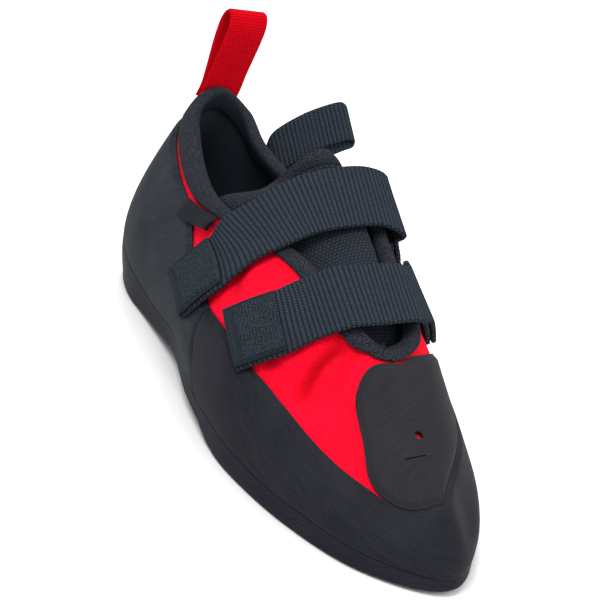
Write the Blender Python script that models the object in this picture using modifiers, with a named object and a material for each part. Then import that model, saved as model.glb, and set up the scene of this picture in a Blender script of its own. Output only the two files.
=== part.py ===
# Climbing shoe for the right foot, standing empty on its sole.
# The origin is the middle of the heel's flat contact spot, +X runs to the toe,
# +Y to the inner (big toe) side and +Z up. All lengths are in metres.

import math
from collections import namedtuple

import bmesh
import bpy
import numpy as np
from mathutils import Vector

# Driving sizes of the shoe
LENGTH = 0.256            # heel bulge to toe tip
HEEL_REACH = 0.032        # heel bulge to the origin
BALL_WIDTH = 0.092        # across the ball of the foot
HEEL_HEIGHT = 0.086       # floor to the collar's top at the back
INSTEP_HEIGHT = 0.072     # floor to the throat's edge over the instep

# Walls and layers
WALL = 0.0020             # upper, microfibre with its lining
FIT = 0.0003              # gap between two layers that touch
RUBBER = 0.0018           # rand, heel cup and toe patch
BINDING = 0.0012          # knit binding outside the opening's edge
COLLAR_PAD = 0.0013       # the same binding inside
INSOLE = 0.0020
ARCH_LIFT = 0.0088        # floor to the sole at the inner arch
TONGUE = 0.0026
SOLE_LIP = 0.0014         # the sole's edge past the rand
SOLE_UNDERCUT = 0.0012    # its walking edge inside that
WEBBING = 0.0020          # strap webbing
STRAP_WIDTH = 0.0288
TAB = 0.0014              # sewn patch on a strap's end
TAB_INSET = 0.0006
HEEL_LOOP_WIDTH = 0.0170
HEEL_LOOP_HEIGHT = 0.0335  # above the collar
SIDE_LOOP_WIDTH = 0.0170
LOOP_TAPE = 0.0015        # thickness of both loops' tape
LABEL = 0.0009
PATCH_HOLE = 0.0028       # across the small hole in the toe patch

# Shape of the last
Section = namedtuple("Section", "name feather low high top")
Spot = namedtuple("Spot", "along side height")


def section(name, feather, low, high, top):
    return Section(name, Spot(*feather), Spot(*low), Spot(*high), Spot(*top))


# One row for each section of the upper, from its lower edge to its collar, throat or ridge.
# along is a share of LENGTH from the heel, side of BALL_WIDTH, height of the local height.
HEEL_BACK = section("heel back", (.014, 0, .10), (0, 0, .33), (.028, 0, .72), (.050, .01, .99))
TOE_TIP = section("toe tip", (.990, .03, .07), (.990, .035, .15), (.965, .04, .27), (.930, .035, .36))
OUTER_SECTIONS = (
    section("heel corner", (.05, -.195, .09), (.040, -.24, .33), (.055, -.19, .68), (.072, -.13, .93)),
    section("heel side", (.13, -.283, .06), (.13, -.345, .30), (.135, -.285, .58), (.150, -.215, .84)),
    section("ankle", (.25, -.31, .09), (.25, -.375, .31), (.25, -.34, .56), (.273, -.28, .82)),
    section("waist", (.38, -.355, .15), (.38, -.42, .39), (.38, -.36, .68), (.383, -.27, .90)),
    section("instep", (.50, -.43, .11), (.50, -.475, .33), (.505, -.38, .68), (.516, -.135, .91)),
    section("throat end", (.61, -.465, .08), (.61, -.505, .28), (.62, -.39, .60), (.668, -.070, .80)),
    section("ball", (.70, -.46, .07), (.70, -.48, .23), (.70, -.335, .52), (.705, .045, .745)),
    section("little toe", (.82, -.385, .07), (.815, -.395, .20), (.80, -.26, .40), (.8125, .055, .555)),
    section("toe side", (.93, -.23, .07), (.925, -.23, .17), (.90, -.12, .30), (.890, .045, .43)),
)
INNER_SECTIONS = (
    section("heel corner", (.05, .21, .09), (.040, .235, .33), (.055, .18, .67), (.072, .14, .91)),
    section("heel side", (.13, .31, .06), (.13, .345, .30), (.13, .27, .58), (.138, .165, .82)),
    section("ankle", (.25, .30, .13), (.25, .36, .34), (.25, .33, .60), (.242, .21, .86)),
    section("waist", (.38, .26, .19), (.38, .35, .44), (.375, .37, .76), (.367, .32, 1.09)),
    section("instep", (.50, .29, .14), (.50, .38, .38), (.505, .375, .72), (.516, .265, .97)),
    section("throat end", (.61, .36, .09), (.61, .43, .32), (.62, .385, .62), (.664, .205, .80)),
    section("ball", (.70, .41, .07), (.70, .45, .26), (.70, .36, .53), (.705, .045, .745)),
    section("big toe", (.82, .385, .07), (.815, .40, .21), (.80, .30, .41), (.8125, .055, .555)),
    section("toe side", (.93, .225, .07), (.925, .24, .17), (.90, .17, .30), (.890, .045, .43)),
)
RIDGE_SECTIONS = 3        # ball, little toe and toe side share their top points with the inner side
HEEL_ZONE = 0.13          # share of LENGTH where heights are shares of HEEL_HEIGHT
INSTEP_ZONE = 0.38        # share of LENGTH from where they are shares of INSTEP_HEIGHT
LEVELS = (0.0, 0.30, 0.68, 1.0)   # feather, low, high and top as shares of the girth
RIDGE_BLEND = 0.95        # share of the girth past which both sides share one normal


def place(spot, along_row):
    """Point in metres of one table spot."""
    blend = min(max((along_row - HEEL_ZONE) / (INSTEP_ZONE - HEEL_ZONE), 0.0), 1.0)
    unit = HEEL_HEIGHT + (INSTEP_HEIGHT - HEEL_HEIGHT) * blend
    return (spot.along * LENGTH - HEEL_REACH, spot.side * BALL_WIDTH, spot.height * unit)


def section_loop():
    """All sections, round the foot from the heel along the outer side to the toe and back."""
    ring = (HEEL_BACK,) + OUTER_SECTIONS + (TOE_TIP,) + INNER_SECTIONS[::-1]
    return np.array([[place(s, row.feather.along) for s in row[1:]] for row in ring])


def smooth_at(points, position):
    """Point of the closed Catmull-Rom curve through the points, at a position counted in points."""
    count = len(points)
    start = math.floor(position)
    t = position - start
    p0, p1, p2, p3 = (points[(start + k) % count] for k in (-1, 0, 1, 2))
    return 0.5 * (2 * p1 + (p2 - p0) * t + (2 * p0 - 5 * p1 + 4 * p2 - p3) * t ** 2
                  + (3 * p1 - p0 - 3 * p2 + p3) * t ** 3)


SECTIONS = section_loop()
ROUND = len(SECTIONS)                 # one turn, counted in sections from the heel
TOE = ROUND // 2                      # the toe tip's section
THROAT_END = TOE - RIDGE_SECTIONS     # the ball's section, where throat and ridge meet


def top_at(turn):
    """Point of the top line: a closed curve round collar and throat, then the ridge to the toe."""
    tops = SECTIONS[:, 3]
    turn = turn % ROUND
    if THROAT_END < turn < ROUND - THROAT_END:
        return smooth_at(tops[THROAT_END:ROUND - THROAT_END + 1], min(turn, ROUND - turn) - THROAT_END)
    turn = (turn + TOE) % ROUND - TOE
    opening = np.concatenate([tops[ROUND - THROAT_END + 1:], tops[:THROAT_END + 1]])
    return smooth_at(opening, turn + THROAT_END - 1)


def bulge_at(share):
    """Zero up to the low level and at the high and top levels, bulging between them."""
    rise = max(share - LEVELS[1], 0.0)
    return rise ** 2 * (share - LEVELS[2]) * (share - LEVELS[3])


def edge_slope(levels):
    """Derivative by the share, at the top, of the cubic through the level points."""
    slope = np.zeros(3)
    for i, own in enumerate(LEVELS):
        others = [level for level in LEVELS if level != own]
        scale = math.prod(own - other for other in others)
        rate = sum(math.prod(1.0 - other for other in others if other != left) for left in others)
        slope += levels[i] * rate / scale
    return slope


def ridge_round(turn):
    """Vector that rounds the cubic off, so that both sides meet smoothly along the ridge."""
    turn = turn % ROUND
    turn = min(turn, ROUND - turn)
    if turn <= THROAT_END - 1:
        return np.zeros(3)
    fade = min(turn - (THROAT_END - 1), 1.0)
    turn = max(turn, THROAT_END)
    both = edge_slope(girth_at(turn)) + edge_slope(girth_at(ROUND - turn))
    rate = (1.0 - LEVELS[1]) ** 2 * (1.0 - LEVELS[2])
    return -both / (2 * rate) * fade


def girth_at(turn):
    """The four level points at one place round the foot."""
    levels = smooth_at(SECTIONS, turn)
    levels[3] = top_at(turn)
    return levels


def last_point(turn, share):
    """Point of the upper's outer face: turn counts sections round the foot, share the girth."""
    weights = [1.0] * len(LEVELS)
    for i, own in enumerate(LEVELS):
        for other in LEVELS:
            if other != own:
                weights[i] *= (share - other) / (own - other)
    return np.dot(weights, girth_at(turn)) + bulge_at(share) * ridge_round(turn)


def one_sided_normal(turn, share):
    step = 0.04
    along = last_point(turn + step, share) - last_point(turn - step, share)
    across = last_point(turn, share + step) - last_point(turn, share - step)
    normal = np.cross(along, across)
    return normal / np.linalg.norm(normal)


def last_normal(turn, share):
    """Outward normal; along the ridge it is the mean of both sides."""
    turn = turn % ROUND
    on_ridge = THROAT_END <= turn <= ROUND - THROAT_END
    if on_ridge and share > RIDGE_BLEND:
        normal = one_sided_normal(turn, RIDGE_BLEND)
        normal = normal + one_sided_normal(ROUND - turn, RIDGE_BLEND)
        return normal / np.linalg.norm(normal)
    return one_sided_normal(turn, share)


def on_last(turn, share, offset=0.0):
    return last_point(turn, share) + offset * last_normal(turn, share)


def lean(turn, share):
    """Turn moved so that the line at SEAM_TURN leans as the seam of heel cup and rand does."""
    slant = max(SEAM_FOOT - SEAM_RAKE * share, SEAM_TOP)
    turn = (turn + TOE) % ROUND - TOE
    near = max(1.0 - abs(abs(turn) - SEAM_TURN), 0.0)
    return turn + math.copysign(slant * near, turn)


def at(turn, share, offset=0.0):
    """Point at an offset from the upper's outer face, on the leaning grid."""
    return on_last(lean(turn, share), share, offset)


def table_value(table, turn):
    """Value from a table of (turn, value) rows, the same on both sides unless it has both."""
    turn = turn % ROUND
    if table[-1][0] <= TOE:
        turn = min(turn, ROUND - turn)
    return float(np.interp(turn, [row[0] for row in table], [row[1] for row in table]))


# Grid of all shells: columns are quarters of a section, rows are these shares of the girth
STEPS = 4
SHARES = (0.0, 0.0, 0.25, 0.38, 0.50, 0.62, 0.74, 0.87, 1.0)
RIM_ROW = 1               # this row follows the sole's rim instead
SEAM_TURN = 5.0           # seam of heel cup and rand, and joint of the two soles
SEAM_FOOT = 0.62          # lean of that seam at the sole, in sections
SEAM_RAKE = 1.85
SEAM_TOP = -0.15
SEAM_GAP = 0.008          # half the gap there, in sections
EDGE_GAP = 0.006          # gap between two edges, as a share of the girth
MERGE = 0.00001

# Edges of the layers, (turn, share of the girth)
SOLE_RIM = ((0, .19), (1.0, .19), (2.0, .18), (3.0, .08), (3.75, .07), (4.5, .10), (5.0, .11),
            (6.0, .145), (6.75, .15), (7.5, .13), (8.25, .125), (9.0, .10), (10, .09))
HEEL_CUP_TOP = ((0, .87), (1, .865), (1.75, .87), (2.3, .885), (2.9, .905), (3.1, .87), (3.4, .80),
                (3.75, .64), (4.0, .57), (4.3, .545), (5.0, .535))
RAND_TOP = ((5, .535), (5.35, .56), (6.6, .61), (7.5, .622), (8.3, .628), (8.75, .65), (9.2, .69),
            (9.5, .79), (9.75, .87), (10, .90), (10.25, .87), (10.5, .79), (10.8, .69), (11.3, .63),
            (12.2, .62), (13.4, .61), (14.65, .56), (15, .535))
PATCH_LOW = ((7.3, .93), (7.5, .86), (7.9, .825), (8.4, .762), (8.75, .662),
             (9.2, .69), (9.5, .79), (9.75, .87), (10, .90), (10.25, .87), (10.5, .79), (10.8, .69),
             (11.3, .63), (12.2, .64), (13.0, .66), (13.75, .70))
PATCH_HIGH = ((7.3, 1.0), (12.68, 1.0), (12.8, .96), (13.0, .90), (13.25, .875), (13.5, .83), (13.75, .75))
PATCH_TURNS = (7.3, 13.75)
BINDING_LOW = ((0, .885), (1, .88), (1.75, .885), (2.3, .90), (2.9, .922), (3.8, .935), (5, .945),
               (5.5, .95), (6, .945), (6.25, .935), (6.5, .93), (6.75, .965), (7, 1.0))
BINDING_SHIFT = ((0, 0), (5.25, 0), (5.5, .04), (6, .155), (6.25, .33), (6.5, .53), (6.75, .415),
                 (7, .213))    # how far the lower edge runs ahead of the top one, in sections
BINDING_EASE = ((0, .3), (4.5, .3), (5, 1.0), (5.6, .7), (6.25, 1.0), (6.75, 2.0), (7, 2.0))


# Small hole in the toe patch, turn and share
PATCH_HOLE_SPOT = (8.2, 0.97)

# Walking face of the soles
SOLE_BOTTOM = (           # turn, then heights of outer edge, middle and inner edge over ARCH_LIFT
    (0.0, .41, .41, .41), (0.5, .30, .20, .30), (1.0, .16, .0, .16), (1.5, 0, 0, 0),
    (2.25, 0, 0, 0), (3.0, .18, .14, .30), (4.0, .66, .68, 1.0), (5.0, .41, .45, .66),
    (6.0, .07, .07, .14), (6.5, 0, 0, 0), (8.25, 0, 0, 0), (9.0, .034, .023, .034),
    (9.5, .09, .08, .09), (10.0, .18, .18, .18))
SOLE_ACROSS = (0.25, 0.5, 0.75)

# Tongue, straps, loops and label. Rows of spots hold along, side and height as in the sections,
# with heights over INSTEP_HEIGHT.
TONGUE_ROWS = (           # from the top edge down to the end under the vamp, outer to inner side
    ((.287, -.245, .84), (.297, -.205, .91), (.315, -.075, .99), (.343, -.037, 1.14), (.352, .030, 1.265),
     (.345, .135, 1.295), (.338, .225, 1.185)),
    ((.352, -.230, .81), (.359, -.175, .93), (.367, -.08, 1.06), (.371, .02, 1.16), (.375, .11, 1.215),
     (.375, .20, 1.21), (.37, .25, 1.12)),
    ((.43, -.220, .77), (.43, -.155, .90), (.434, -.07, 1.00), (.434, .03, 1.065), (.434, .13, 1.105),
     (.434, .20, 1.105), (.43, .235, 1.05)),
    ((.516, -.195, .71), (.516, -.135, .81), (.52, -.06, .905), (.52, .03, .970), (.52, .12, 1.005),
     (.52, .18, 1.005), (.516, .212, .96)),
    ((.60, -.175, .64), (.60, -.115, .745), (.60, -.045, .825), (.60, .03, .865), (.60, .10, .875),
     (.60, .15, .855), (.60, .183, .78)),
    ((.672, -.13, .58), (.672, -.080, .645), (.672, -.02, .68), (.672, .04, .695), (.672, .10, .69),
     (.672, .135, .66), (.672, .17, .59)),
    ((.735, -.09, .53), (.735, -.06, .555), (.735, -.01, .57), (.735, .04, .575), (.735, .085, .57),
     (.735, .12, .55), (.735, .15, .52)))
StrapRow = namedtuple("StrapRow", "kind rear front")
OVER_RUBBER = FIT + RUBBER + 2 * FIT
OVER_BINDING = FIT + BINDING + FIT
REAR_STRAP = (            # "last": turn and share on the upper; "free": along, side and height
    StrapRow("last", (3.66, .44), (4.57, .35)),
    StrapRow("last", (3.96, .62), (4.83, .54)),
    StrapRow("last", (4.10, .785), (4.95, .68)),
    StrapRow("last", (4.02, .96), (4.90, .855)),
    StrapRow("free", (.383, -.181, 1.048), (.494, -.166, .960)),
    StrapRow("free", (.385, -.040, 1.172), (.489, -.040, 1.030)),
    StrapRow("free", (.387, .130, 1.245), (.485, .110, 1.070)),
    StrapRow("free", (.386, .275, 1.258), (.483, .258, 1.085)),
    StrapRow("free", (.384, .378, 1.205), (.483, .366, 1.035)),
    StrapRow("ply", (16.0, .93), (15.2, .93)),
    StrapRow("ply", (16.0, .82), (15.2, .82)),
    StrapRow("ply", (16.0, .71), (15.2, .71)),
    StrapRow("ply", (15.95, .61), (15.15, .60)))
FRONT_STRAP = (
    StrapRow("last", (5.29, .615), (6.29, .530)),
    StrapRow("last", (5.40, .730), (6.42, .642)),
    StrapRow("last", (5.43, .835), (6.50, .745)),
    StrapRow("last", (5.36, .930), (6.42, .850)),
    StrapRow("free", (.572, -.085, .982), (.686, -.105, .828)),
    StrapRow("free", (.574, .050, 1.012), (.687, .020, .850)),
    StrapRow("free", (.567, .205, 1.014), (.682, .172, .866)),
    StrapRow("free", (.555, .300, .962), (.664, .266, .842)),
    StrapRow("ply", (14.9, .93), (14.13, .90)),
    StrapRow("ply", (14.92, .83), (14.15, .80)),
    StrapRow("ply", (14.94, .73), (14.17, .71)),
    StrapRow("ply", (14.94, .63), (14.17, .62)))
ACROSS = (0.0, 0.25, 0.5, 0.75, 1.0)
TAB_ROWS = 3              # rows of a strap that its tab covers
STRAP_STEPS = 3
LOOP_STEPS = 2
HEEL_LOOP_PATH = (        # behind and above the collar's top, shares of HEEL_LOOP_HEIGHT
    (-.085, -.17), (-.045, .0), (-.02, .25), (.04, .60), (.06, .85), (.0, .985), (-.10, 1.0),
    (-.19, .87), (-.20, .60), (-.155, .25), (-.135, .0), (-.175, -.17))
HEEL_LOOP_SHIFT = (.035, .06, .08)    # forward, sideways, and sideways more towards its top
SIDE_LOOP_PATH = (        # from the medial wall out, up and back, in shares of BALL_WIDTH
    (0, .054, -.045), (0, .018, .0), (0, .042, .07), (0, .163, .163), (0, .299, .227), (0, .352, .232),
    (0, .362, .202), (0, .305, .173), (0, .178, .104), (0, .079, .025), (0, .061, -.02), (0, .082, -.045))
SIDE_LOOP_SPOT = (18.2, .82)      # turn and share of its root
SIDE_LOOP_ACROSS = (.654, .141, -.705)
LABEL_CORNERS = ((2.98, .79), (3.72, .83))    # lower corners, turn and share
LABEL_TOP = (.912, .922)


# Blender pieces
def clear_scene():
    for thing in list(bpy.data.objects):
        bpy.data.objects.remove(thing, do_unlink=True)


def make_collection(name):
    collection = bpy.data.collections.new(name)
    bpy.context.scene.collection.children.link(collection)
    return collection


def material(name, colour, roughness, metallic=0.0):
    made = bpy.data.materials.new(name)
    made.use_nodes = True
    shader = made.node_tree.nodes["Principled BSDF"]
    shader.inputs["Base Color"].default_value = (*colour, 1.0)
    shader.inputs["Roughness"].default_value = roughness
    shader.inputs["Metallic"].default_value = metallic
    return made


def add_object(name, mesh, finish, collection):
    """Object from a bmesh, merged at its doubles, smooth with sharp corners kept."""
    bmesh.ops.remove_doubles(mesh, verts=mesh.verts, dist=MERGE)
    data = bpy.data.meshes.new(name)
    mesh.to_mesh(data)
    mesh.free()
    data.materials.append(finish)
    data.shade_smooth()
    data.set_sharp_from_angle(angle=math.radians(40))
    thing = bpy.data.objects.new(name, data)
    collection.objects.link(thing)
    return thing


def mapped_grid(columns, rows, point_of):
    """Grid of triangles whose vertex (column, row) goes to point_of(column, row)."""
    mesh = bmesh.new()
    bmesh.ops.create_grid(mesh, x_segments=columns - 1, y_segments=rows - 1, size=0.5)
    for vertex in mesh.verts:
        column = round((vertex.co.x + 0.5) * (columns - 1))
        row = round((vertex.co.y + 0.5) * (rows - 1))
        vertex.co = Vector(point_of(column, row))
    bmesh.ops.triangulate(mesh, faces=mesh.faces, quad_method="FIXED")
    return mesh


def solidify(thing, thickness, offset):
    """Wall on a sheet: offset 1 puts it outside the sheet, -1 inside."""
    wall = thing.modifiers.new("Wall", "SOLIDIFY")
    wall.thickness = thickness
    wall.offset = offset
    return wall


def shell(name, turns, low, high, inside, wall, finish, collection):
    """Layer of wall thickness over the last between two edges, low and high giving its shares."""
    def spot(column, row):
        turn = turns[column]
        share = sole_rim(turn) if row == RIM_ROW else SHARES[row]
        return turn, min(max(share, low(turn)), high(turn))
    mesh = mapped_grid(len(turns), len(SHARES), lambda c, r: at(*spot(c, r), inside + wall))
    back = mesh.verts.layers.float_vector.new("back")
    mesh.verts.ensure_lookup_table()
    facing = mapped_grid(len(turns), len(SHARES), lambda c, r: at(*spot(c, r), inside))
    facing.verts.ensure_lookup_table()
    for vertex in mesh.verts:
        vertex[back] = facing.verts[vertex.index].co
    facing.free()
    bmesh.ops.remove_doubles(mesh, verts=mesh.verts, dist=MERGE)
    walls = bmesh.ops.extrude_face_region(mesh, geom=mesh.faces[:], use_keep_orig=True)["geom"]
    for part in walls:
        if isinstance(part, bmesh.types.BMVert):
            part.co = part[back]
    bmesh.ops.recalc_face_normals(mesh, faces=mesh.faces)
    return add_object(name, mesh, finish, collection)


def loft(name, sections, finish, collection, closed=False):
    """Solid through polygons with equal counts; its open ends are filled."""
    count = len(sections[0])
    if closed:
        sections = list(sections) + [sections[0]]
    mesh = mapped_grid(len(sections), count + 1, lambda c, r: sections[c][r % count])
    bmesh.ops.remove_doubles(mesh, verts=mesh.verts, dist=MERGE)
    rims = [edge for edge in mesh.edges if edge.is_boundary]
    if rims:
        caps = bmesh.ops.holes_fill(mesh, edges=rims, sides=0)["faces"]
        bmesh.ops.triangulate(mesh, faces=caps, ngon_method="EAR_CLIP")
    bmesh.ops.recalc_face_normals(mesh, faces=mesh.faces)
    return add_object(name, mesh, finish, collection)


def smooth_rows(rows, steps):
    """Open Catmull-Rom through rows of points, along the first axis."""
    rows = np.asarray(rows, float)
    padded = np.concatenate([[2 * rows[0] - rows[1]], rows, [2 * rows[-1] - rows[-2]]])
    out = []
    for i in range(len(rows) - 1):
        p0, p1, p2, p3 = padded[i:i + 4]
        for j in range(steps):
            t = j / steps
            out.append(0.5 * (2 * p1 + (p2 - p0) * t + (2 * p0 - 5 * p1 + 4 * p2 - p3) * t ** 2
                              + (3 * p1 - p0 - 3 * p2 + p3) * t ** 3))
    out.append(rows[-1])
    return np.array(out)


def quarter_turns(start, end):
    """Columns from start to end: both ends and every quarter section between them."""
    first = math.floor(start * STEPS + 1e-6) + 1
    last = math.ceil(end * STEPS - 1e-6) - 1
    return [start] + [k / STEPS for k in range(first, last + 1)] + [end]


# Upper and the rubber over it
def build_upper(finish, collection):
    turns = quarter_turns(0.0, float(ROUND))
    return shell("upper", turns, lambda t: 0.0, lambda t: 1.0, -WALL, WALL, finish, collection)


def sole_rim(turn):
    return table_value(SOLE_RIM, turn)


def above_sole(turn):
    return sole_rim(turn) + EDGE_GAP


def build_heel_cup(finish, collection):
    turns = quarter_turns(-SEAM_TURN + SEAM_GAP, SEAM_TURN - SEAM_GAP)
    return shell("heel_cup", turns, above_sole, lambda t: table_value(HEEL_CUP_TOP, t),
                 FIT, RUBBER, finish, collection)


def build_rand(finish, collection):
    turns = quarter_turns(SEAM_TURN + SEAM_GAP, ROUND - SEAM_TURN - SEAM_GAP)
    return shell("toe_rand", turns, above_sole, lambda t: table_value(RAND_TOP, t),
                 FIT, RUBBER, finish, collection)


def build_toe_patch(finish, collection, cutters):
    turns = quarter_turns(*PATCH_TURNS)
    patch = shell("toe_patch", turns, lambda t: table_value(PATCH_LOW, t) + EDGE_GAP,
                  lambda t: table_value(PATCH_HIGH, t), FIT, RUBBER, finish, collection)
    spot = Vector(on_last(*PATCH_HOLE_SPOT))
    up = Vector(last_normal(*PATCH_HOLE_SPOT))
    mesh = bmesh.new()
    bmesh.ops.create_cone(mesh, cap_ends=True, segments=12, radius1=PATCH_HOLE / 2,
                          radius2=PATCH_HOLE / 2, depth=PATCH_HOLE * 4)
    bmesh.ops.rotate(mesh, verts=mesh.verts, matrix=up.to_track_quat("Z", "Y").to_matrix())
    bmesh.ops.translate(mesh, verts=mesh.verts, vec=spot)
    punch = add_object("patch_punch", mesh, finish, cutters)
    punch.hide_render = True
    punch.display_type = "WIRE"
    cut = patch.modifiers.new("Hole", "BOOLEAN")
    cut.operation = "DIFFERENCE"
    cut.solver = "EXACT"
    cut.object = punch
    return patch


def build_binding(finish, collection):
    """Knit binding folded over the edge of collar and throat."""
    sections = []
    for k in range(-THROAT_END * STEPS, THROAT_END * STEPS):
        turn = k / STEPS
        side = math.copysign(1, turn)
        low_turn = turn + side * table_value(BINDING_SHIFT, turn)
        low = table_value(BINDING_LOW, turn)
        rise = at(turn, 1.0) - at(low_turn, low)
        rise = rise / np.linalg.norm(rise)
        ease = FIT * table_value(BINDING_EASE, turn)
        outer = FIT + ease
        inner = -WALL - 2 * FIT - 2 * ease
        sections.append([
            at(low_turn, low, outer), at(low_turn, low, outer + BINDING),
            at(turn, 1.0, outer + BINDING), at(turn, 1.0, 0) + rise * (outer + BINDING),
            at(turn, 1.0, -WALL) + rise * (outer + BINDING), at(turn, 1.0, inner - COLLAR_PAD),
            at(low_turn, low, inner - COLLAR_PAD), at(low_turn, low, inner),
            at(turn, 1.0, inner) + rise * outer, at(turn, 1.0, outer) + rise * outer])
    return loft("collar_binding", sections, finish, collection, closed=True)


# Soles and insole


def bottom_heights(turn):
    """Heights of the outer edge, the middle and the inner edge of the walking face."""
    turns = [row[0] for row in SOLE_BOTTOM]
    return [float(np.interp(turn, turns, [row[i] for row in SOLE_BOTTOM])) * ARCH_LIFT
            for i in (1, 2, 3)]


def sole_edge(turn, bottom):
    """Edge of a sole on one side: rim inside and outside, widest point, walking edge, footbed."""
    rim_in = at(turn, sole_rim(turn), FIT)
    rim_out = at(turn, sole_rim(turn), FIT + RUBBER)
    feather = at(turn, 0.0)
    out = at(turn, 0.0, 1.0) - feather
    out[2] = 0.0
    out = out / np.linalg.norm(out)
    wide = feather + out * (FIT + RUBBER + SOLE_LIP)
    wide[2] = max(feather[2] - RUBBER, bottom + RUBBER)
    walk = wide - out * SOLE_UNDERCUT
    walk[2] = bottom
    bed = at(turn, 0.0, FIT)
    bed[2] = bed[2] - FIT
    return rim_in, rim_out, wide, walk, bed


def sole_section(turn):
    """Closed polygon across the shoe, from the outer side to the inner side and back on top."""
    outer_low, middle_low, inner_low = bottom_heights(turn)
    outer = sole_edge(turn, outer_low)
    inner = sole_edge(ROUND - turn, inner_low)
    below = []
    above = []
    for share in SOLE_ACROSS:
        low = outer[3] * (1 - share) + inner[3] * share
        low[2] = np.interp(share, (0, 0.5, 1), (outer_low, middle_low, inner_low))
        below.append(low)
        above.append(outer[4] * (1 - share) + inner[4] * share)
    return ([outer[0], outer[1], outer[2], outer[3]] + below
            + [inner[3], inner[2], inner[1], inner[0], inner[4]] + above[::-1] + [outer[4]])


def build_soles(finish, collection):
    rear = [sole_section(t) for t in quarter_turns(0.0, SEAM_TURN - SEAM_GAP)]
    fore = [sole_section(t) for t in quarter_turns(SEAM_TURN + SEAM_GAP, float(TOE))]
    return [loft("heel_outsole", rear, finish, collection),
            loft("forefoot_outsole", fore, finish, collection)]


def build_insole(finish, collection):
    inset = -(WALL + 2 * FIT)
    sections = []
    for turn in quarter_turns(0.0, float(TOE)):
        outer = at(turn, 0.0, inset)
        inner = at(ROUND - turn, 0.0, inset)
        outer[2] = at(turn, 0.0, FIT)[2] + FIT
        inner[2] = at(ROUND - turn, 0.0, FIT)[2] + FIT
        line = [outer * (1 - share) + inner * share for share in (0.0,) + SOLE_ACROSS + (1.0,)]
        top = [spot + np.array((0, 0, INSOLE)) for spot in line]
        sections.append(line + top[::-1])
    return loft("insole", sections, finish, collection)


# Tongue, straps and loops. Their tables hold along, side and height as in the sections.
def spot_point(spot):
    return np.array((spot[0] * LENGTH - HEEL_REACH, spot[1] * BALL_WIDTH, spot[2] * INSTEP_HEIGHT))


def build_tongue(finish, collection):
    rows = np.array([[spot_point(s) for s in row] for row in TONGUE_ROWS])
    rows = smooth_rows(rows, 2)
    rows = smooth_rows(rows.transpose(1, 0, 2), 2)
    mesh = mapped_grid(rows.shape[1], rows.shape[0], lambda c, r: rows[r][c])
    thing = add_object("tongue", mesh, finish, collection)
    face_outward(thing, np.array((0.3, 0, 1.0)))
    solidify(thing, TONGUE, -1)
    return thing


def face_outward(thing, direction):
    """Turn a sheet's faces so that most of them look along a direction."""
    lean_sum = sum(face.normal.dot(Vector(direction)) * face.area for face in thing.data.polygons)
    if lean_sum < 0:
        thing.data.flip_normals()


def strap_row(row, lift):
    """Points across a strap's inner face, brought to the strap's width."""
    if row.kind == "free":
        rear = spot_point(row.rear)
        front = spot_point(row.front)
        points = np.array([rear * (1 - share) + front * share for share in ACROSS])
        points[:, 2] += lift
    else:
        base = OVER_RUBBER if row.kind == "last" else OVER_BINDING + WEBBING + 2 * FIT
        points = []
        for share in ACROSS:
            turn = row.rear[0] * (1 - share) + row.front[0] * share
            girth = row.rear[1] * (1 - share) + row.front[1] * share
            points.append(at(turn, girth, base + lift))
        points = np.array(points)
    middle = points[len(ACROSS) // 2]
    width = np.linalg.norm(points[-1] - points[0])
    return middle + (points - middle) * (STRAP_WIDTH / width)


def strap_sheet(name, table, lift, thickness, finish, collection, first=0, last=None, inset=0.0):
    """Band of webbing over rows of a strap table; inset makes it smaller on three sides."""
    rows = np.array([strap_row(row, lift) for row in table])[first:last]
    rows = smooth_rows(rows, STRAP_STEPS)
    if inset:
        middle = rows[:, len(ACROSS) // 2][:, None]
        rows = middle + (rows - middle) * (1 - 2 * inset / STRAP_WIDTH)
        rows[0] += (rows[1] - rows[0]) * (inset / np.linalg.norm(rows[1, 2] - rows[0, 2]))
    mesh = mapped_grid(rows.shape[0], rows.shape[1], lambda c, r: rows[c][r])
    thing = add_object(name, mesh, finish, collection)
    middle_row = rows[len(rows) // 2, len(ACROSS) // 2]
    face_outward(thing, middle_row - np.array((middle_row[0], 0.0, 0.0)))
    solidify(thing, thickness, 1)
    return thing


def build_straps(webbing, tab, collection):
    for name, table, fold in (("rear_strap", REAR_STRAP, 9), ("front_strap", FRONT_STRAP, 8)):
        strap_sheet(name, table, 0.0, WEBBING, webbing, collection)
        strap_sheet(name + "_tab", table, WEBBING + 2 * FIT, TAB, tab, collection,
                    last=TAB_ROWS, inset=TAB_INSET)
        strap_sheet(name + "_anchor", table, -(WEBBING + 2 * FIT), WEBBING, webbing, collection,
                    first=fold)


def tape_loop(name, path, across, width, finish, collection):
    """Loop of tape: a path of points, widened on both sides along a direction."""
    across = np.asarray(across, float)
    across = across / np.linalg.norm(across) * width / 2
    path = smooth_rows(path, LOOP_STEPS)
    mesh = mapped_grid(len(path), 3, lambda c, r: path[c] + across * (r - 1))
    thing = add_object(name, mesh, finish, collection)
    solidify(thing, LOOP_TAPE, 0)
    return thing


def build_loops(red_tape, black_tape, collection):
    collar = at(0.0, 1.0, FIT + BINDING + FIT + LOOP_TAPE / 2)
    forward, side, lean_side = HEEL_LOOP_SHIFT
    path = [collar + np.array((a + forward, side + lean_side * b, b)) * HEEL_LOOP_HEIGHT
            for a, b in HEEL_LOOP_PATH]
    tape_loop("heel_pull_loop", path, (0, 1, 0), HEEL_LOOP_WIDTH, red_tape, collection)
    wall = at(*SIDE_LOOP_SPOT, FIT + BINDING + 2 * FIT + LOOP_TAPE)
    path = [wall + np.array(step) * BALL_WIDTH for step in SIDE_LOOP_PATH]
    tape_loop("side_pull_loop", path, SIDE_LOOP_ACROSS, SIDE_LOOP_WIDTH, black_tape, collection)


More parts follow.
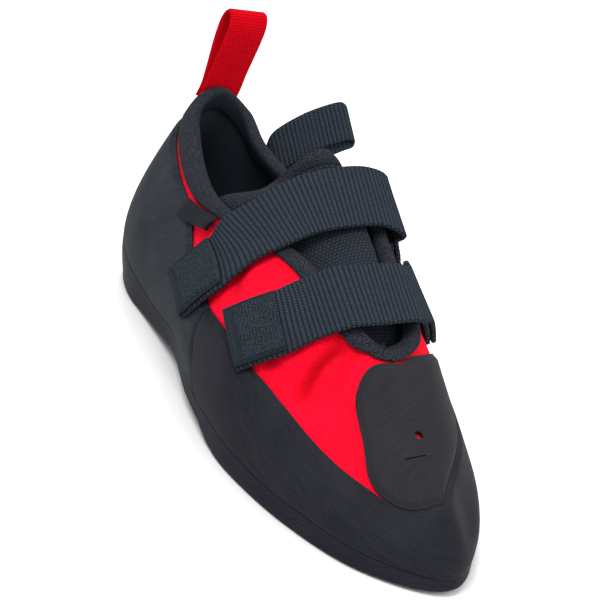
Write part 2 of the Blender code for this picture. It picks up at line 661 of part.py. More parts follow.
def build_label(finish, collection):
    """Folded side label, sewn in under the collar's binding."""
    def point(column, row):
        along = column / 4
        up = row / 2
        turn = LABEL_CORNERS[0][0] * (1 - along) + LABEL_CORNERS[1][0] * along
        low = LABEL_CORNERS[0][1] * (1 - along) + LABEL_CORNERS[1][1] * along
        high = LABEL_TOP[0] * (1 - along) + LABEL_TOP[1] * along
        return at(turn, low * (1 - up) + high * up, FIT + RUBBER + FIT)
    mesh = mapped_grid(5, 3, point)
    thing = add_object("side_label", mesh, finish, collection)
    face_outward(thing, np.array((0, -1.0, 0)))
    solidify(thing, LABEL, 1)
    return thing


def build_shoe():
    clear_scene()
    shoe = make_collection("climbing_shoe")
    cutters = make_collection("cutters")
    red = material("red microfibre", (0.90, 0.010, 0.030), 0.75)
    rubber = material("rand rubber", (0.035, 0.035, 0.042), 0.62)
    sole = material("sole rubber", (0.028, 0.030, 0.034), 0.58)
    knit = material("binding knit", (0.020, 0.022, 0.027), 0.9)
    lining = material("insole board", (0.016, 0.018, 0.024), 0.9)
    mesh_cloth = material("tongue mesh", (0.026, 0.032, 0.040), 0.9)
    webbing = material("strap webbing", (0.028, 0.034, 0.046), 0.8)
    tab = material("tab cloth", (0.022, 0.030, 0.040), 0.85)
    red_tape = material("red tape", (0.60, 0.006, 0.020), 0.7)
    label = material("label satin", (0.020, 0.022, 0.030), 0.5)
    build_upper(red, shoe)
    build_heel_cup(rubber, shoe)
    build_rand(rubber, shoe)
    build_toe_patch(rubber, shoe, cutters)
    build_binding(knit, shoe)
    build_soles(sole, shoe)
    build_insole(lining, shoe)
    build_tongue(mesh_cloth, shoe)
    build_straps(webbing, tab, shoe)
    build_loops(red_tape, webbing, shoe)
    build_label(label, shoe)


build_shoe()
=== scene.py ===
# %% [markdown]
# A climbing shoe for the right foot stands empty on its sole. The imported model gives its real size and
# place, and this lesson dresses it: rubber, napped microfibre, knit, webbing and thread. Everything is in
# metres, +X runs to the toe, +Y to the inner side of the foot and +Z up. Loading the frame first means
# that each new piece can be laid straight where the model has it.

# %% Load the frame
import math
from collections import namedtuple

import bmesh
import bpy
import numpy as np
from mathutils import Matrix, Vector


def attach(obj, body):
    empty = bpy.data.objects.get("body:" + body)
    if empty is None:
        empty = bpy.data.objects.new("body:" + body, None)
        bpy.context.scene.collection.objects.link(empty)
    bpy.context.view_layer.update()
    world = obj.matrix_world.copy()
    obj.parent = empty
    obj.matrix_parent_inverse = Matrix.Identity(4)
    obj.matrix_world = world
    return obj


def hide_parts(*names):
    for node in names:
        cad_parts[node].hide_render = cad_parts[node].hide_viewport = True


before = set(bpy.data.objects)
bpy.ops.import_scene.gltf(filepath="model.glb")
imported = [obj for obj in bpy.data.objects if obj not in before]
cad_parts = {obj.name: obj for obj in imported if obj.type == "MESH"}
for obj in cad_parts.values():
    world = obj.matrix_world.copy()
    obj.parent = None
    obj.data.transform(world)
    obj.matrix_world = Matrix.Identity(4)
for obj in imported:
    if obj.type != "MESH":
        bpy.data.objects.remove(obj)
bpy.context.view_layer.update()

print("nodes in the frame:", len(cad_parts))

# %% [markdown]
# The camera comes first, because the photograph decides the angle: about 57 degrees round from the toe, 24
# degrees up, and rolled so that the shoe leans in the picture. A long lens at 0.83 m gives the same mild
# perspective. The view is aimed at the picture's middle instead of shifting the lens, which keeps other
# views of the shoe centred.

# %% Camera
PICTURE = 600.0
FOCAL_PIXELS = 2168.0
SENSOR = 36.0
AIM = Vector((0.100, 0.0, 0.030))
AIM_PIXEL = (305.0, 345.5)
CAMERA_DISTANCE = 0.830
CAMERA_ROUND, CAMERA_UP, CAMERA_ROLL = (math.radians(a) for a in (57.0, 24.0, 16.7))


def camera_axes():
    """Right, up and back directions of the rolled camera."""
    back = Vector((math.sin(CAMERA_ROUND) * math.cos(CAMERA_UP),
                   -math.cos(CAMERA_ROUND) * math.cos(CAMERA_UP), math.sin(CAMERA_UP)))
    right = Vector((math.cos(CAMERA_ROUND), math.sin(CAMERA_ROUND), 0.0))
    up = back.cross(right)
    c, s = math.cos(CAMERA_ROLL), math.sin(CAMERA_ROLL)
    return right * c + up * s, up * c - right * s, back


def make_camera():
    right, up, back = camera_axes()
    place = AIM + back * CAMERA_DISTANCE
    across = (PICTURE / 2 - AIM_PIXEL[0]) / FOCAL_PIXELS
    down = (PICTURE / 2 - AIM_PIXEL[1]) / FOCAL_PIXELS
    back = (back - right * across + up * down).normalized()
    right = (right - back * right.dot(back)).normalized()
    up = back.cross(right)
    data = bpy.data.cameras.new("photo_camera")
    data.sensor_width = SENSOR
    data.lens = SENSOR * FOCAL_PIXELS / PICTURE
    data.clip_start = 0.05
    camera = bpy.data.objects.new("photo_camera", data)
    camera.matrix_world = Matrix.Translation(place) @ Matrix((right, up, back)).transposed().to_4x4()
    bpy.context.scene.collection.objects.link(camera)
    bpy.context.scene.camera = camera
    return camera


camera = make_camera()
print("camera at", [round(v, 3) for v in camera.matrix_world.translation], "lens", round(camera.data.lens, 1))

# %% [markdown]
# The shoe is lit like a catalogue picture: a large soft light above and in front, a weaker one on the other
# side and a pale surrounding. The floor is a plain pale sheet.

# %% Floor and light
FLOOR_SIZE = 6.0
FLOOR_GREY = 0.90
ROOM_LIGHT = 0.80
LIGHTS = (                # name, place, aim, size in metres and power in watts
    ("key", (0.30, -0.55, 1.15), (0.09, 0.0, 0.03), 0.7, 11.0),
    ("fill", (0.75, 0.65, 0.60), (0.09, 0.0, 0.03), 0.8, 4.0),
    ("back", (-0.70, 0.20, 0.80), (0.05, 0.0, 0.05), 0.6, 5.0))


def object_from(mesh, name):
    """New object in the scene from a bmesh, which is freed."""
    data = bpy.data.meshes.new(name)
    mesh.to_mesh(data)
    mesh.free()
    made = bpy.data.objects.new(name, data)
    bpy.context.scene.collection.objects.link(made)
    return made


def new_material(name):
    made = bpy.data.materials.new(name)
    made.use_nodes = True
    return made, made.node_tree, made.node_tree.nodes["Principled BSDF"]


def fill(tree, node, values):
    """Set a node's inputs, or link those whose value is a socket."""
    for key, value in values.items():
        if isinstance(value, bpy.types.NodeSocket):
            tree.links.new(value, node.inputs[key])
        else:
            node.inputs[key].default_value = value
    return node


def make_floor():
    mesh = bmesh.new()
    bmesh.ops.create_grid(mesh, x_segments=1, y_segments=1, size=FLOOR_SIZE / 2)
    floor = object_from(mesh, "floor")
    finish, tree, shader = new_material("pale floor")
    fill(tree, shader, {"Base Color": (FLOOR_GREY, FLOOR_GREY, FLOOR_GREY, 1.0), "Roughness": 0.9,
                        "Specular IOR Level": 0.1})
    floor.data.materials.append(finish)


def soft_light(name, place, aim, size, power):
    data = bpy.data.lights.new(name, "AREA")
    data.shape = "DISK"
    data.size = size
    data.energy = power
    light = bpy.data.objects.new(name, data)
    light.matrix_world = Matrix.LocRotScale(
        Vector(place), (Vector(aim) - Vector(place)).to_track_quat("-Z", "Y"), None)
    bpy.context.scene.collection.objects.link(light)


def pale_surroundings():
    world = bpy.data.worlds.new("pale room")
    world.use_nodes = True
    fill(world.node_tree, world.node_tree.nodes["Background"],
         {"Color": (1.0, 1.0, 1.0, 1.0), "Strength": ROOM_LIGHT})
    bpy.context.scene.world = world


make_floor()
pale_surroundings()
for light_row in LIGHTS:
    soft_light(*light_row)
bpy.context.scene.view_settings.view_transform = "Standard"

# %% [markdown]
# A shoe gets its form from a last. Here the last is a table: one row per section round the foot, each with
# four spots from the lower edge (feather) to the collar, throat or toe ridge. All pieces of the shoe lie at
# some offset from this one surface, so they fit each other as the real layers do. Whole arrays of points are
# worked out at once, because a fine mesh asks for a hundred thousand of them.

# %% Sizes and sections of the last
LENGTH = 0.256
HEEL_REACH = 0.032
BALL_WIDTH = 0.092
HEEL_HEIGHT = 0.086
INSTEP_HEIGHT = 0.072
WALL = 0.0020
FIT = 0.0003
RUBBER = 0.0018
Section = namedtuple("Section", "name feather low high top")
HEEL_BACK = Section("heel back", (.014, 0, .10), (0, 0, .33), (.028, 0, .72), (.050, .01, .99))
TOE_TIP = Section("toe tip", (.990, .03, .07), (.990, .035, .15), (.965, .04, .27), (.930, .035, .36))
OUTER_SECTIONS = (
    Section("heel corner", (.05, -.195, .09), (.040, -.24, .33), (.055, -.19, .68), (.072, -.13, .93)),
    Section("heel side", (.13, -.283, .06), (.13, -.345, .30), (.135, -.285, .58), (.150, -.215, .84)),
    Section("ankle", (.25, -.31, .09), (.25, -.375, .31), (.25, -.34, .56), (.273, -.28, .82)),
    Section("waist", (.38, -.355, .15), (.38, -.42, .39), (.38, -.36, .68), (.383, -.27, .90)),
    Section("instep", (.50, -.43, .11), (.50, -.475, .33), (.505, -.38, .68), (.516, -.135, .91)),
    Section("throat end", (.61, -.465, .08), (.61, -.505, .28), (.62, -.39, .60), (.668, -.070, .80)),
    Section("ball", (.70, -.46, .07), (.70, -.48, .23), (.70, -.335, .52), (.705, .045, .745)),
    Section("little toe", (.82, -.385, .07), (.815, -.395, .20), (.80, -.26, .40), (.8125, .055, .555)),
    Section("toe side", (.93, -.23, .07), (.925, -.23, .17), (.90, -.12, .30), (.890, .045, .43)),
)
INNER_SECTIONS = (
    Section("heel corner", (.05, .21, .09), (.040, .235, .33), (.055, .18, .67), (.072, .14, .91)),
    Section("heel side", (.13, .31, .06), (.13, .345, .30), (.13, .27, .58), (.138, .165, .82)),
    Section("ankle", (.25, .30, .13), (.25, .36, .34), (.25, .33, .60), (.242, .21, .86)),
    Section("waist", (.38, .26, .19), (.38, .35, .44), (.375, .37, .76), (.367, .32, 1.09)),
    Section("instep", (.50, .29, .14), (.50, .38, .38), (.505, .375, .72), (.516, .265, .97)),
    Section("throat end", (.61, .36, .09), (.61, .43, .32), (.62, .385, .62), (.664, .205, .80)),
    Section("ball", (.70, .41, .07), (.70, .45, .26), (.70, .36, .53), (.705, .045, .745)),
    Section("big toe", (.82, .385, .07), (.815, .40, .21), (.80, .30, .41), (.8125, .055, .555)),
    Section("toe side", (.93, .225, .07), (.925, .24, .17), (.90, .17, .30), (.890, .045, .43)),
)
HEEL_ZONE = 0.13
INSTEP_ZONE = 0.38
LEVELS = (0.0, 0.30, 0.68, 1.0)
RIDGE_BLEND = 0.95
RIDGE_SECTIONS = 3


def place(spot, along_row):
    """Metres of one table spot: along over LENGTH, side over BALL_WIDTH, height over the local height."""
    blend = min(max((along_row - HEEL_ZONE) / (INSTEP_ZONE - HEEL_ZONE), 0.0), 1.0)
    unit = HEEL_HEIGHT + (INSTEP_HEIGHT - HEEL_HEIGHT) * blend
    return (spot[0] * LENGTH - HEEL_REACH, spot[1] * BALL_WIDTH, spot[2] * unit)


RING = (HEEL_BACK,) + OUTER_SECTIONS + (TOE_TIP,) + INNER_SECTIONS[::-1]
SECTIONS = np.array([[place(spot, row.feather[0]) for spot in row[1:]] for row in RING])
ROUND = len(SECTIONS)
TOE = ROUND // 2
THROAT_END = TOE - RIDGE_SECTIONS
print("sections round the foot:", ROUND)

# %% [markdown]
# Between the rows a Catmull-Rom curve runs smoothly through the spots, and up each section a cubic runs
# through its four levels. Over the toes the two sides meet along a ridge, where a small bulge makes their
# slopes agree, so that the toe is round and has no crease.

# %% The surface of the last


def catmull(p0, p1, p2, p3, t):
    """Catmull-Rom curve between the second and the third of four points."""
    return 0.5 * (2 * p1 + (p2 - p0) * t + (2 * p0 - 5 * p1 + 4 * p2 - p3) * t ** 2
                  + (3 * p1 - p0 - 3 * p2 + p3) * t ** 3)


def unit(vectors):
    return vectors / np.linalg.norm(vectors, axis=-1, keepdims=True)


def between(first, second, share):
    """The first value at share 0 and the second at share 1."""
    return first * (1 - share) + second * share


def through(points, position):
    """Closed Catmull-Rom curve through the points, at an array of positions counted in points."""
    position = np.asarray(position, float)
    start = np.floor(position).astype(int)
    t = (position - start).reshape(position.shape + (1,) * (points.ndim - 1))
    return catmull(*(points[(start + k) % len(points)] for k in (-1, 0, 1, 2)), t)


def top_line(turn):
    """Points of the top edge: round the collar and throat, then along the ridge to the toe."""
    tops = SECTIONS[:, 3]
    turn = np.asarray(turn, float) % ROUND
    ridge = through(tops[THROAT_END:ROUND - THROAT_END + 1],
                    np.minimum(turn, ROUND - turn).clip(THROAT_END) - THROAT_END)
    signed = (turn + TOE) % ROUND - TOE
    opening = np.concatenate([tops[ROUND - THROAT_END + 1:], tops[:THROAT_END + 1]])
    mouth = through(opening, signed + THROAT_END - 1)
    on_ridge = (turn > THROAT_END) & (turn < ROUND - THROAT_END)
    return np.where(on_ridge[..., None], ridge, mouth)


def girth_at(turn):
    levels = through(SECTIONS, turn)
    levels[..., 3, :] = top_line(turn)
    return levels


def edge_slope(levels):
    """Slope of the cubic through the four levels, at the top."""
    slope = 0.0
    for i, own in enumerate(LEVELS):
        others = [level for level in LEVELS if level != own]
        scale = math.prod(own - other for other in others)
        rate = sum(math.prod(1.0 - other for other in others if other != left) for left in others)
        slope = slope + levels[..., i, :] * rate / scale
    return slope


def ridge_round(turn):
    """Bulge that makes both sides meet smoothly along the ridge."""
    turn = np.asarray(turn, float) % ROUND
    turn = np.minimum(turn, ROUND - turn)
    fade = (turn - (THROAT_END - 1)).clip(0.0, 1.0)[..., None]
    turn = turn.clip(THROAT_END)
    both = edge_slope(girth_at(turn)) + edge_slope(girth_at(ROUND - turn))
    return -both / (2 * (1.0 - LEVELS[1]) ** 2 * (1.0 - LEVELS[2])) * fade


def last_point(turn, share):
    """Points of the upper's outer face: turn counts sections round the foot, share the girth."""
    turn, share = np.broadcast_arrays(np.asarray(turn, float), np.asarray(share, float))
    levels = girth_at(turn)
    point = 0.0
    for i, own in enumerate(LEVELS):
        weight = 1.0
        for other in LEVELS:
            if other != own:
                weight = weight * (share - other) / (own - other)
        point = point + weight[..., None] * levels[..., i, :]
    bulge = (share - LEVELS[1]).clip(0.0) ** 2 * (share - LEVELS[2]) * (share - LEVELS[3])
    return point + bulge[..., None] * ridge_round(turn)


NORMAL_STEP = 0.04


def one_sided_normal(turn, share):
    along = last_point(turn + NORMAL_STEP, share) - last_point(turn - NORMAL_STEP, share)
    across = last_point(turn, share + NORMAL_STEP) - last_point(turn, share - NORMAL_STEP)
    return unit(np.cross(along, across))


def last_normal(turn, share):
    turn, share = np.broadcast_arrays(np.asarray(turn, float) % ROUND, np.asarray(share, float))
    on_ridge = (turn >= THROAT_END) & (turn <= ROUND - THROAT_END) & (share > RIDGE_BLEND)
    edge = np.full(turn.shape, RIDGE_BLEND)
    shared = unit(one_sided_normal(turn, edge) + one_sided_normal(ROUND - turn, edge))
    return np.where(on_ridge[..., None], shared, one_sided_normal(turn, share))


SEAM_TURN = 5.0
SEAM_FOOT = 0.62
SEAM_RAKE = 1.85
SEAM_TOP = -0.15
SEAM_GAP = 0.008
EDGE_GAP = 0.006


def lean(turn, share):
    """Turn moved so that the seam of heel cup and rand leans as it does on the shoe."""
    slant = np.maximum(SEAM_FOOT - SEAM_RAKE * share, SEAM_TOP)
    turn = (turn + TOE) % ROUND - TOE
    near = (1.0 - np.abs(np.abs(turn) - SEAM_TURN)).clip(0.0)
    return turn + np.sign(turn) * slant * near


def at(turn, share, offset=0.0):
    """Points at an offset from the upper's outer face, on the leaning grid."""
    turn, share, offset = np.broadcast_arrays(*(np.asarray(v, float) for v in (turn, share, offset)))
    turn = lean(turn, share)
    return last_point(turn, share) + offset[..., None] * last_normal(turn, share)


def table_value(table, turn):
    turn = np.asarray(turn, float) % ROUND
    if table[-1][0] <= TOE:
        turn = np.minimum(turn, ROUND - turn)
    return np.interp(turn, [row[0] for row in table], [row[1] for row in table])


def soft_value(table, turn, reach=0.16):
    """Table value with its corners rounded over a reach in sections."""
    turn = np.asarray(turn, float)
    return sum(table_value(table, turn + reach * k) for k in (-1, -.5, 0, .5, 1)) / 5


print("toe tip at", np.round(last_point(10.0, 0.3) * 1000, 1), "mm")

# %% [markdown]
# All layers are made alike. A grid is created flat, each of its vertices is sent to its place on the last,
# and the whole sheet is extruded to a second set of places for its other side. That gives a closed shell
# with a true wall. The grid also gets a UV map in metres, so that a weave keeps its real size everywhere.

# %% Helper for closed layers
MERGE = 0.00001


def finish_piece(name, mesh, finishes, replaced=(), sharp=35.0):
    """Object from a bmesh, riding on the shoe and standing for nodes of the frame."""
    bmesh.ops.recalc_face_normals(mesh, faces=mesh.faces)
    piece = object_from(mesh, name)
    for finish in finishes:
        piece.data.materials.append(finish)
    piece.data.shade_smooth()
    piece.data.set_sharp_from_angle(angle=math.radians(sharp))
    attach(piece, "root")
    if replaced:
        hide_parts(*replaced)
    print(name, "faces:", len(piece.data.polygons))
    return piece


def mapped_grid(front, uv, back=None):
    """Grid bmesh with vertex (column, row) at front[column, row], UVs, and places for its other side."""
    columns, rows = front.shape[:2]
    mesh = bmesh.new()
    bmesh.ops.create_grid(mesh, x_segments=columns - 1, y_segments=rows - 1, size=0.5)
    cloth_map = mesh.loops.layers.uv.new("Cloth")
    behind = mesh.verts.layers.float_vector.new("behind")
    spots = {}
    for vertex in mesh.verts:
        spot = tuple(round((value + 0.5) * (count - 1)) for value, count in zip(vertex.co, (columns, rows)))
        spots[vertex] = spot
        vertex.co = front[spot]
        if back is not None:
            vertex[behind] = back[spot]
    for face in mesh.faces:
        for loop in face.loops:
            loop[cloth_map].uv = uv[spots[loop.vert]]
    return mesh


def layer(name, front, back, uv, finishes, replaced=()):
    """Closed shell from a front and a back sheet; the second finish is for its back and rims."""
    mesh = mapped_grid(front, uv, back)
    bmesh.ops.remove_doubles(mesh, verts=mesh.verts, dist=MERGE)
    behind = mesh.verts.layers.float_vector["behind"]
    fronts = list(mesh.faces)
    made = bmesh.ops.extrude_face_region(mesh, geom=fronts, use_keep_orig=True)["geom"]
    for part in made:
        if isinstance(part, bmesh.types.BMVert):
            part.co = part[behind]
    if len(finishes) > 1:
        own = set(fronts)
        for face in mesh.faces:
            face.material_index = 0 if face in own else 1
    return finish_piece(name, mesh, finishes, replaced)


def run_along(points):
    """Distance run at each point of a line of points."""
    return np.concatenate([[0], np.cumsum(np.linalg.norm(np.diff(points, axis=0), axis=1))])


def sheet_uv(points):
    """UVs in metres, measured along the middle row and the middle column of a sheet."""
    u = run_along(points[:, points.shape[1] // 2])
    v = run_along(points[points.shape[0] // 2])
    return np.stack(np.meshgrid(u, v, indexing="ij"), axis=-1)


def soft_steps(count, ends=2.0):
    """Numbers from 0 to 1 that lie closer together near both ends."""
    t = np.linspace(-1, 1, count)
    return 0.5 + 0.5 * np.sign(t) * (1 - (1 - np.abs(t)) ** ends)


def ease(value):
    value = np.clip(value, 0.0, 1.0)
    return value * value * (3 - 2 * value)


print("soft steps:", soft_steps(5).round(3))

# %% [markdown]
# Finishes are built from a few effects that several materials share. Each is a node group with named
# inputs: a fine grain, long brush strokes as a rand gets when its glue side is buffed, and the beads of a
# woven cloth. The groups give heights and masks only, and the shader itself stays in each material.

# %% Shared effects as node groups


def new_group(name, inputs, outputs):
    """Node group with its inputs (None for a vector, else a number) and outputs (all numbers)."""
    group = bpy.data.node_groups.new(name, "ShaderNodeTree")
    for label, value in inputs.items():
        kind = "NodeSocketVector" if value is None else "NodeSocketFloat"
        socket = group.interface.new_socket(label, in_out="INPUT", socket_type=kind)
        if value is not None:
            socket.default_value = value
    for label in outputs:
        group.interface.new_socket(label, in_out="OUTPUT", socket_type="NodeSocketFloat")
    return group, group.nodes.new("NodeGroupInput").outputs, group.nodes.new("NodeGroupOutput")


def put(tree, kind, values=None, **settings):
    """New node with settings and socket values; a socket in values is linked."""
    node = tree.nodes.new(kind)
    for key, value in settings.items():
        setattr(node, key, value)
    return fill(tree, node, values or {})


def math_node(tree, operation, first, second=0.0):
    return put(tree, "ShaderNodeMath", {0: first, 1: second}, operation=operation).outputs[0]


def noise(tree, vector, size, detail, roughness=0.5):
    return put(tree, "ShaderNodeTexNoise", {"Vector": vector, "Scale": size, "Detail": detail,
                                            "Roughness": roughness}).outputs["Fac"]


def grain_group():
    """Fine grain and slow mottling on any coordinates."""
    group, given, sink = new_group("grain", {"Vector": None, "Size": 900.0}, ("Height", "Mottle"))
    fill(group, sink, {"Height": noise(group, given["Vector"], given["Size"], 3.0),
                       "Mottle": noise(group, given["Vector"], 38.0, 4.0, 0.6)})
    return group


def strokes_group():
    """Long straight brush strokes along the first coordinate, fine ones over broad ones."""
    group, given, sink = new_group("brush strokes", {"Vector": None, "Density": 700.0, "Stretch": 0.06},
                                   ("Height", "Patches"))
    parts = put(group, "ShaderNodeSeparateXYZ", {0: given["Vector"]}).outputs
    long = math_node(group, "MULTIPLY", parts["X"], given["Stretch"])
    joined = put(group, "ShaderNodeCombineXYZ", {0: long, 1: parts["Y"]}).outputs[0]
    fill(group, sink, {"Height": noise(group, joined, given["Density"], 3.0, 0.7),
                       "Patches": noise(group, given["Vector"], 45.0, 3.0)})
    return group


def half_wave(tree, value):
    """Humps that rise and fall once in each whole number."""
    part = math_node(tree, "FRACT", value)
    return math_node(tree, "SINE", math_node(tree, "MULTIPLY", part, math.pi))


def weave_group():
    """Little beads of thread in rows: pitch along and across in metres, every second row set off."""
    group, given, sink = new_group("weave", {"Vector": None, "Along": 0.002, "Across": 0.001}, ("Height",))
    parts = put(group, "ShaderNodeSeparateXYZ", {0: given["Vector"]}).outputs
    row = math_node(group, "DIVIDE", parts["X"], given["Along"])
    shift = math_node(group, "MULTIPLY", math_node(group, "FLOOR", row), 0.5)
    bead = math_node(group, "ADD", math_node(group, "DIVIDE", parts["Y"], given["Across"]), shift)
    fill(group, sink, {"Height": math_node(group, "MULTIPLY", half_wave(group, row), half_wave(group, bead))})
    return group


GRAIN = grain_group()
STROKES = strokes_group()
WEAVE = weave_group()
print("groups:", [g.name for g in bpy.data.node_groups])

# %% [markdown]
# The rubber of rand, heel cup and patch is a dull dark grey that shows fine strokes from buffing. The soles
# are the same but a little darker and plainer. Each has its colour moved up and down by the strokes and its
# roughness with them, because buffed rubber is duller where it is scratched most.

# %% Rubber
STROKE_SETS = ((0, 1100.0, 0.05), (24, 800.0, 0.07))     # angle in degrees, density, stretch
MATT = 0.05
RUBBER_GRAIN = 1500.0


def colour_between(tree, dark, light, factor, low=0.0, high=1.0):
    span = put(tree, "ShaderNodeMapRange", {"Value": factor, "From Min": low, "From Max": high})
    mix = put(tree, "ShaderNodeMix", {0: span.outputs["Result"], 6: (*dark, 1.0), 7: (*light, 1.0)},
              data_type="RGBA")
    return mix.outputs[2]


def bump(tree, height, distance):
    return put(tree, "ShaderNodeBump", {"Height": height, "Distance": distance,
                                        "Strength": 1.0}).outputs["Normal"]


def weighted(tree, first, share, second, other_share):
    """Sum of two values, each times its share."""
    return math_node(tree, "ADD", math_node(tree, "MULTIPLY", first, share),
                     math_node(tree, "MULTIPLY", second, other_share))


def effect(tree, group, values):
    """Outputs of a shared effect."""
    return put(tree, "ShaderNodeGroup", values, node_tree=group).outputs


def grain_of(tree, size):
    place = put(tree, "ShaderNodeTexCoord").outputs["Object"]
    return effect(tree, GRAIN, {"Vector": place, "Size": size})


def cloth_uv(tree):
    return put(tree, "ShaderNodeUVMap", uv_map="Cloth").outputs[0]


def rubber(name, dark, light, rough, depth, turn):
    """Buffed rubber with two crossing sets of strokes, the main one turned by degrees."""
    made, tree, shader = new_material(name)
    strokes, others = [
        effect(tree, STROKES, {"Density": density, "Stretch": stretch, "Vector": put(
            tree, "ShaderNodeMapping", {"Vector": cloth_uv(tree),
                                        "Rotation": (0, 0, math.radians(turn + angle))}).outputs[0]})
        for angle, density, stretch in STROKE_SETS]
    both = weighted(tree, strokes["Height"], 0.6, others["Height"], 0.4)
    mixed = weighted(tree, both, 0.7, strokes["Patches"], 0.3)
    height = weighted(tree, both, 0.75, grain_of(tree, RUBBER_GRAIN)["Height"], 0.25)
    dull = put(tree, "ShaderNodeMapRange", {"Value": both, "From Min": 0.35, "From Max": 0.65,
                                            "To Min": rough - 0.07, "To Max": rough + 0.09})
    fill(tree, shader, {"Base Color": colour_between(tree, dark, light, mixed, 0.36, 0.64),
                        "Roughness": dull.outputs["Result"], "Normal": bump(tree, height, depth),
                        "Specular IOR Level": MATT})
    return made


RAND_RUBBER = rubber("rand rubber", (0.0080, 0.0085, 0.012), (0.0205, 0.021, 0.028), 0.60, 0.00022, 10.0)
CUP_RUBBER = rubber("heel cup rubber", (0.006, 0.0085, 0.012), (0.025, 0.031, 0.039), 0.60, 0.00022, -58.0)
PATCH_RUBBER = rubber("toe patch rubber", (0.014, 0.014, 0.0175), (0.0245, 0.0245, 0.029), 0.60, 0.00012,
                      62.0)
SOLE_RUBBER = rubber("sole rubber", (0.007, 0.0075, 0.012), (0.019, 0.0195, 0.028), 0.55, 0.00012, 2.0)
print("finishes so far:", [m.name for m in bpy.data.materials])

# %% [markdown]
# The upper is red microfibre with a short nap: very bright, quite even, with a fine mottled grain and a soft
# sheen at grazing angles. Inside it is lined with a dark smooth cloth. The knit, webbing, tape and thread are
# one kind of material with other colours, pitches and depths, so one function makes them all.

# %% Red microfibre and cloths
NAP_GRAIN = 1900.0
# Dark red of the painted shade along the creases.
CREASE_SHADE_RED = (0.40, 0.0001, 0.005, 1.0)
SHEEN_TINT = (1.0, 0.15, 0.25, 1.0)
CLOTH_GRAIN = 1600.0


def microfibre():
    made, tree, shader = new_material("red microfibre")
    grain = grain_of(tree, NAP_GRAIN)
    mixed = weighted(tree, grain["Height"], 0.7, grain["Mottle"], 0.3)
    plain = colour_between(tree, (0.66, 0.0003, 0.007), (1.0, 0.0045, 0.032), mixed, 0.36, 0.60)
    # Painted shade: the nap is mixed towards a dark red where the Crease attribute marks a crease.
    crease = put(tree, "ShaderNodeAttribute", attribute_name="Crease").outputs["Fac"]
    crease_shaded = put(tree, "ShaderNodeMix", {0: crease, 6: plain, 7: CREASE_SHADE_RED}, data_type="RGBA")
    fill(tree, shader, {"Base Color": crease_shaded.outputs[2], "Normal": bump(tree, grain["Height"], 0.00025),
                        "Roughness": 0.9, "Specular IOR Level": MATT, "Sheen Weight": 0.05,
                        "Sheen Roughness": 0.5, "Sheen Tint": SHEEN_TINT})
    return made


def cloth(name, dark, light, pitch, depth, woven=0.6, low=0.15, high=0.85):
    """Woven or knitted cloth: beads of thread at a pitch along and across, over a slow mottling; the colour
    has painted highlight on the bead tops and painted shade between them.
    """
    made, tree, shader = new_material(name)
    weave = effect(tree, WEAVE, {"Vector": cloth_uv(tree), "Along": pitch[0], "Across": pitch[1]})
    mixed = weighted(tree, weave["Height"], woven, grain_of(tree, CLOTH_GRAIN)["Height"], 1.1 - woven)
    # Painted highlight and shade: the colour is lighter on the bead tops and darker between them, with the
    # real mottling of the grain.
    fill(tree, shader, {"Base Color": colour_between(tree, dark, light, mixed, low, high),
                        "Normal": bump(tree, mixed, depth), "Roughness": 0.85,
                        "Specular IOR Level": 0.04})
    return made


RED_MICROFIBRE = microfibre()
# The lining is set lighter than the binding's inner ply, as painted light that lifts the shade deep inside
# the shoe.
SHADE_LIFTED_LINING = cloth("dark lining", (0.024, 0.028, 0.040), (0.036, 0.042, 0.058), (0.0008, 0.0008), 0.00004, 0.3)
FOLD_CLOTH = cloth("binding lining", (0.009, 0.011, 0.016), (0.015, 0.018, 0.025), (0.0008, 0.0008),
                   0.00004, 0.3)
KNIT = cloth("binding knit", (0.006, 0.007, 0.010), (0.036, 0.039, 0.049), (0.0010, 0.0013), 0.00008, 0.14,
             0.36, 0.76)
MESH_CLOTH = cloth("tongue mesh", (0.005, 0.006, 0.009), (0.030, 0.036, 0.048), (0.0015, 0.0017), 0.00030,
                   0.5)
WEBBING_CLOTH = cloth("strap webbing", (0.007, 0.010, 0.0135), (0.042, 0.053, 0.071), (0.0019, 0.00095),
                      0.00026, 0.6, 0.25, 0.95)
TAB_CLOTH = cloth("tab cloth", (0.006, 0.009, 0.013), (0.023, 0.030, 0.040), (0.0007, 0.0007), 0.00014, 0.5)
PANEL_CLOTH = cloth("tab panel", (0.004, 0.0065, 0.0095), (0.027, 0.035, 0.044), (0.0012, 0.0011), 0.00025,
                    0.2, 0.36, 0.64)
RED_TAPE = cloth("red tape", (0.26, 0.0001, 0.002), (0.66, 0.0006, 0.010), (0.0011, 0.0011), 0.00020)
SATIN = cloth("label satin", (0.009, 0.010, 0.014), (0.020, 0.021, 0.027), (0.0006, 0.0006), 0.00006, 0.5)
THREAD = cloth("grey thread", (0.030, 0.034, 0.042), (0.075, 0.082, 0.095), (0.0004, 0.0004), 0.00005)
print("finishes in all:", len(bpy.data.materials))

# %% [markdown]
# The upper is one shell of microfibre. On the outer side of the forefoot the leather folds a little where
# the foot bends, in front of the strap. These creases are placed as soft troughs between two spots of
# the last, so that they run where they run on the shoe and die out before the rubber starts.

# %% Upper
CREASES = (               # turn and share of both ends, half width in metres, depth in metres
    (6.30, .97, 7.30, .66, .0032, .0030),
    (6.65, .96, 7.45, .78, .0028, .0012),
    (5.95, .72, 6.60, .66, .0030, .0010),
    (4.75, .82, 5.20, .66, .0026, .0011),
    (14.1, .80, 13.6, .68, .0030, .0010),
    (16.3, .90, 15.6, .80, .0030, .0008),
)
CREASE_LIP = 0.30         # height of the soft lip beside a trough, as a share of the trough's depth
LIP_AT = 1.9              # place of that lip, in half widths
DARKEST_AT = 0.0030       # depth of the crease whose painted shade darkens the nap in full
COLUMNS_PER_SECTION = 16
UPPER_ROWS = 57


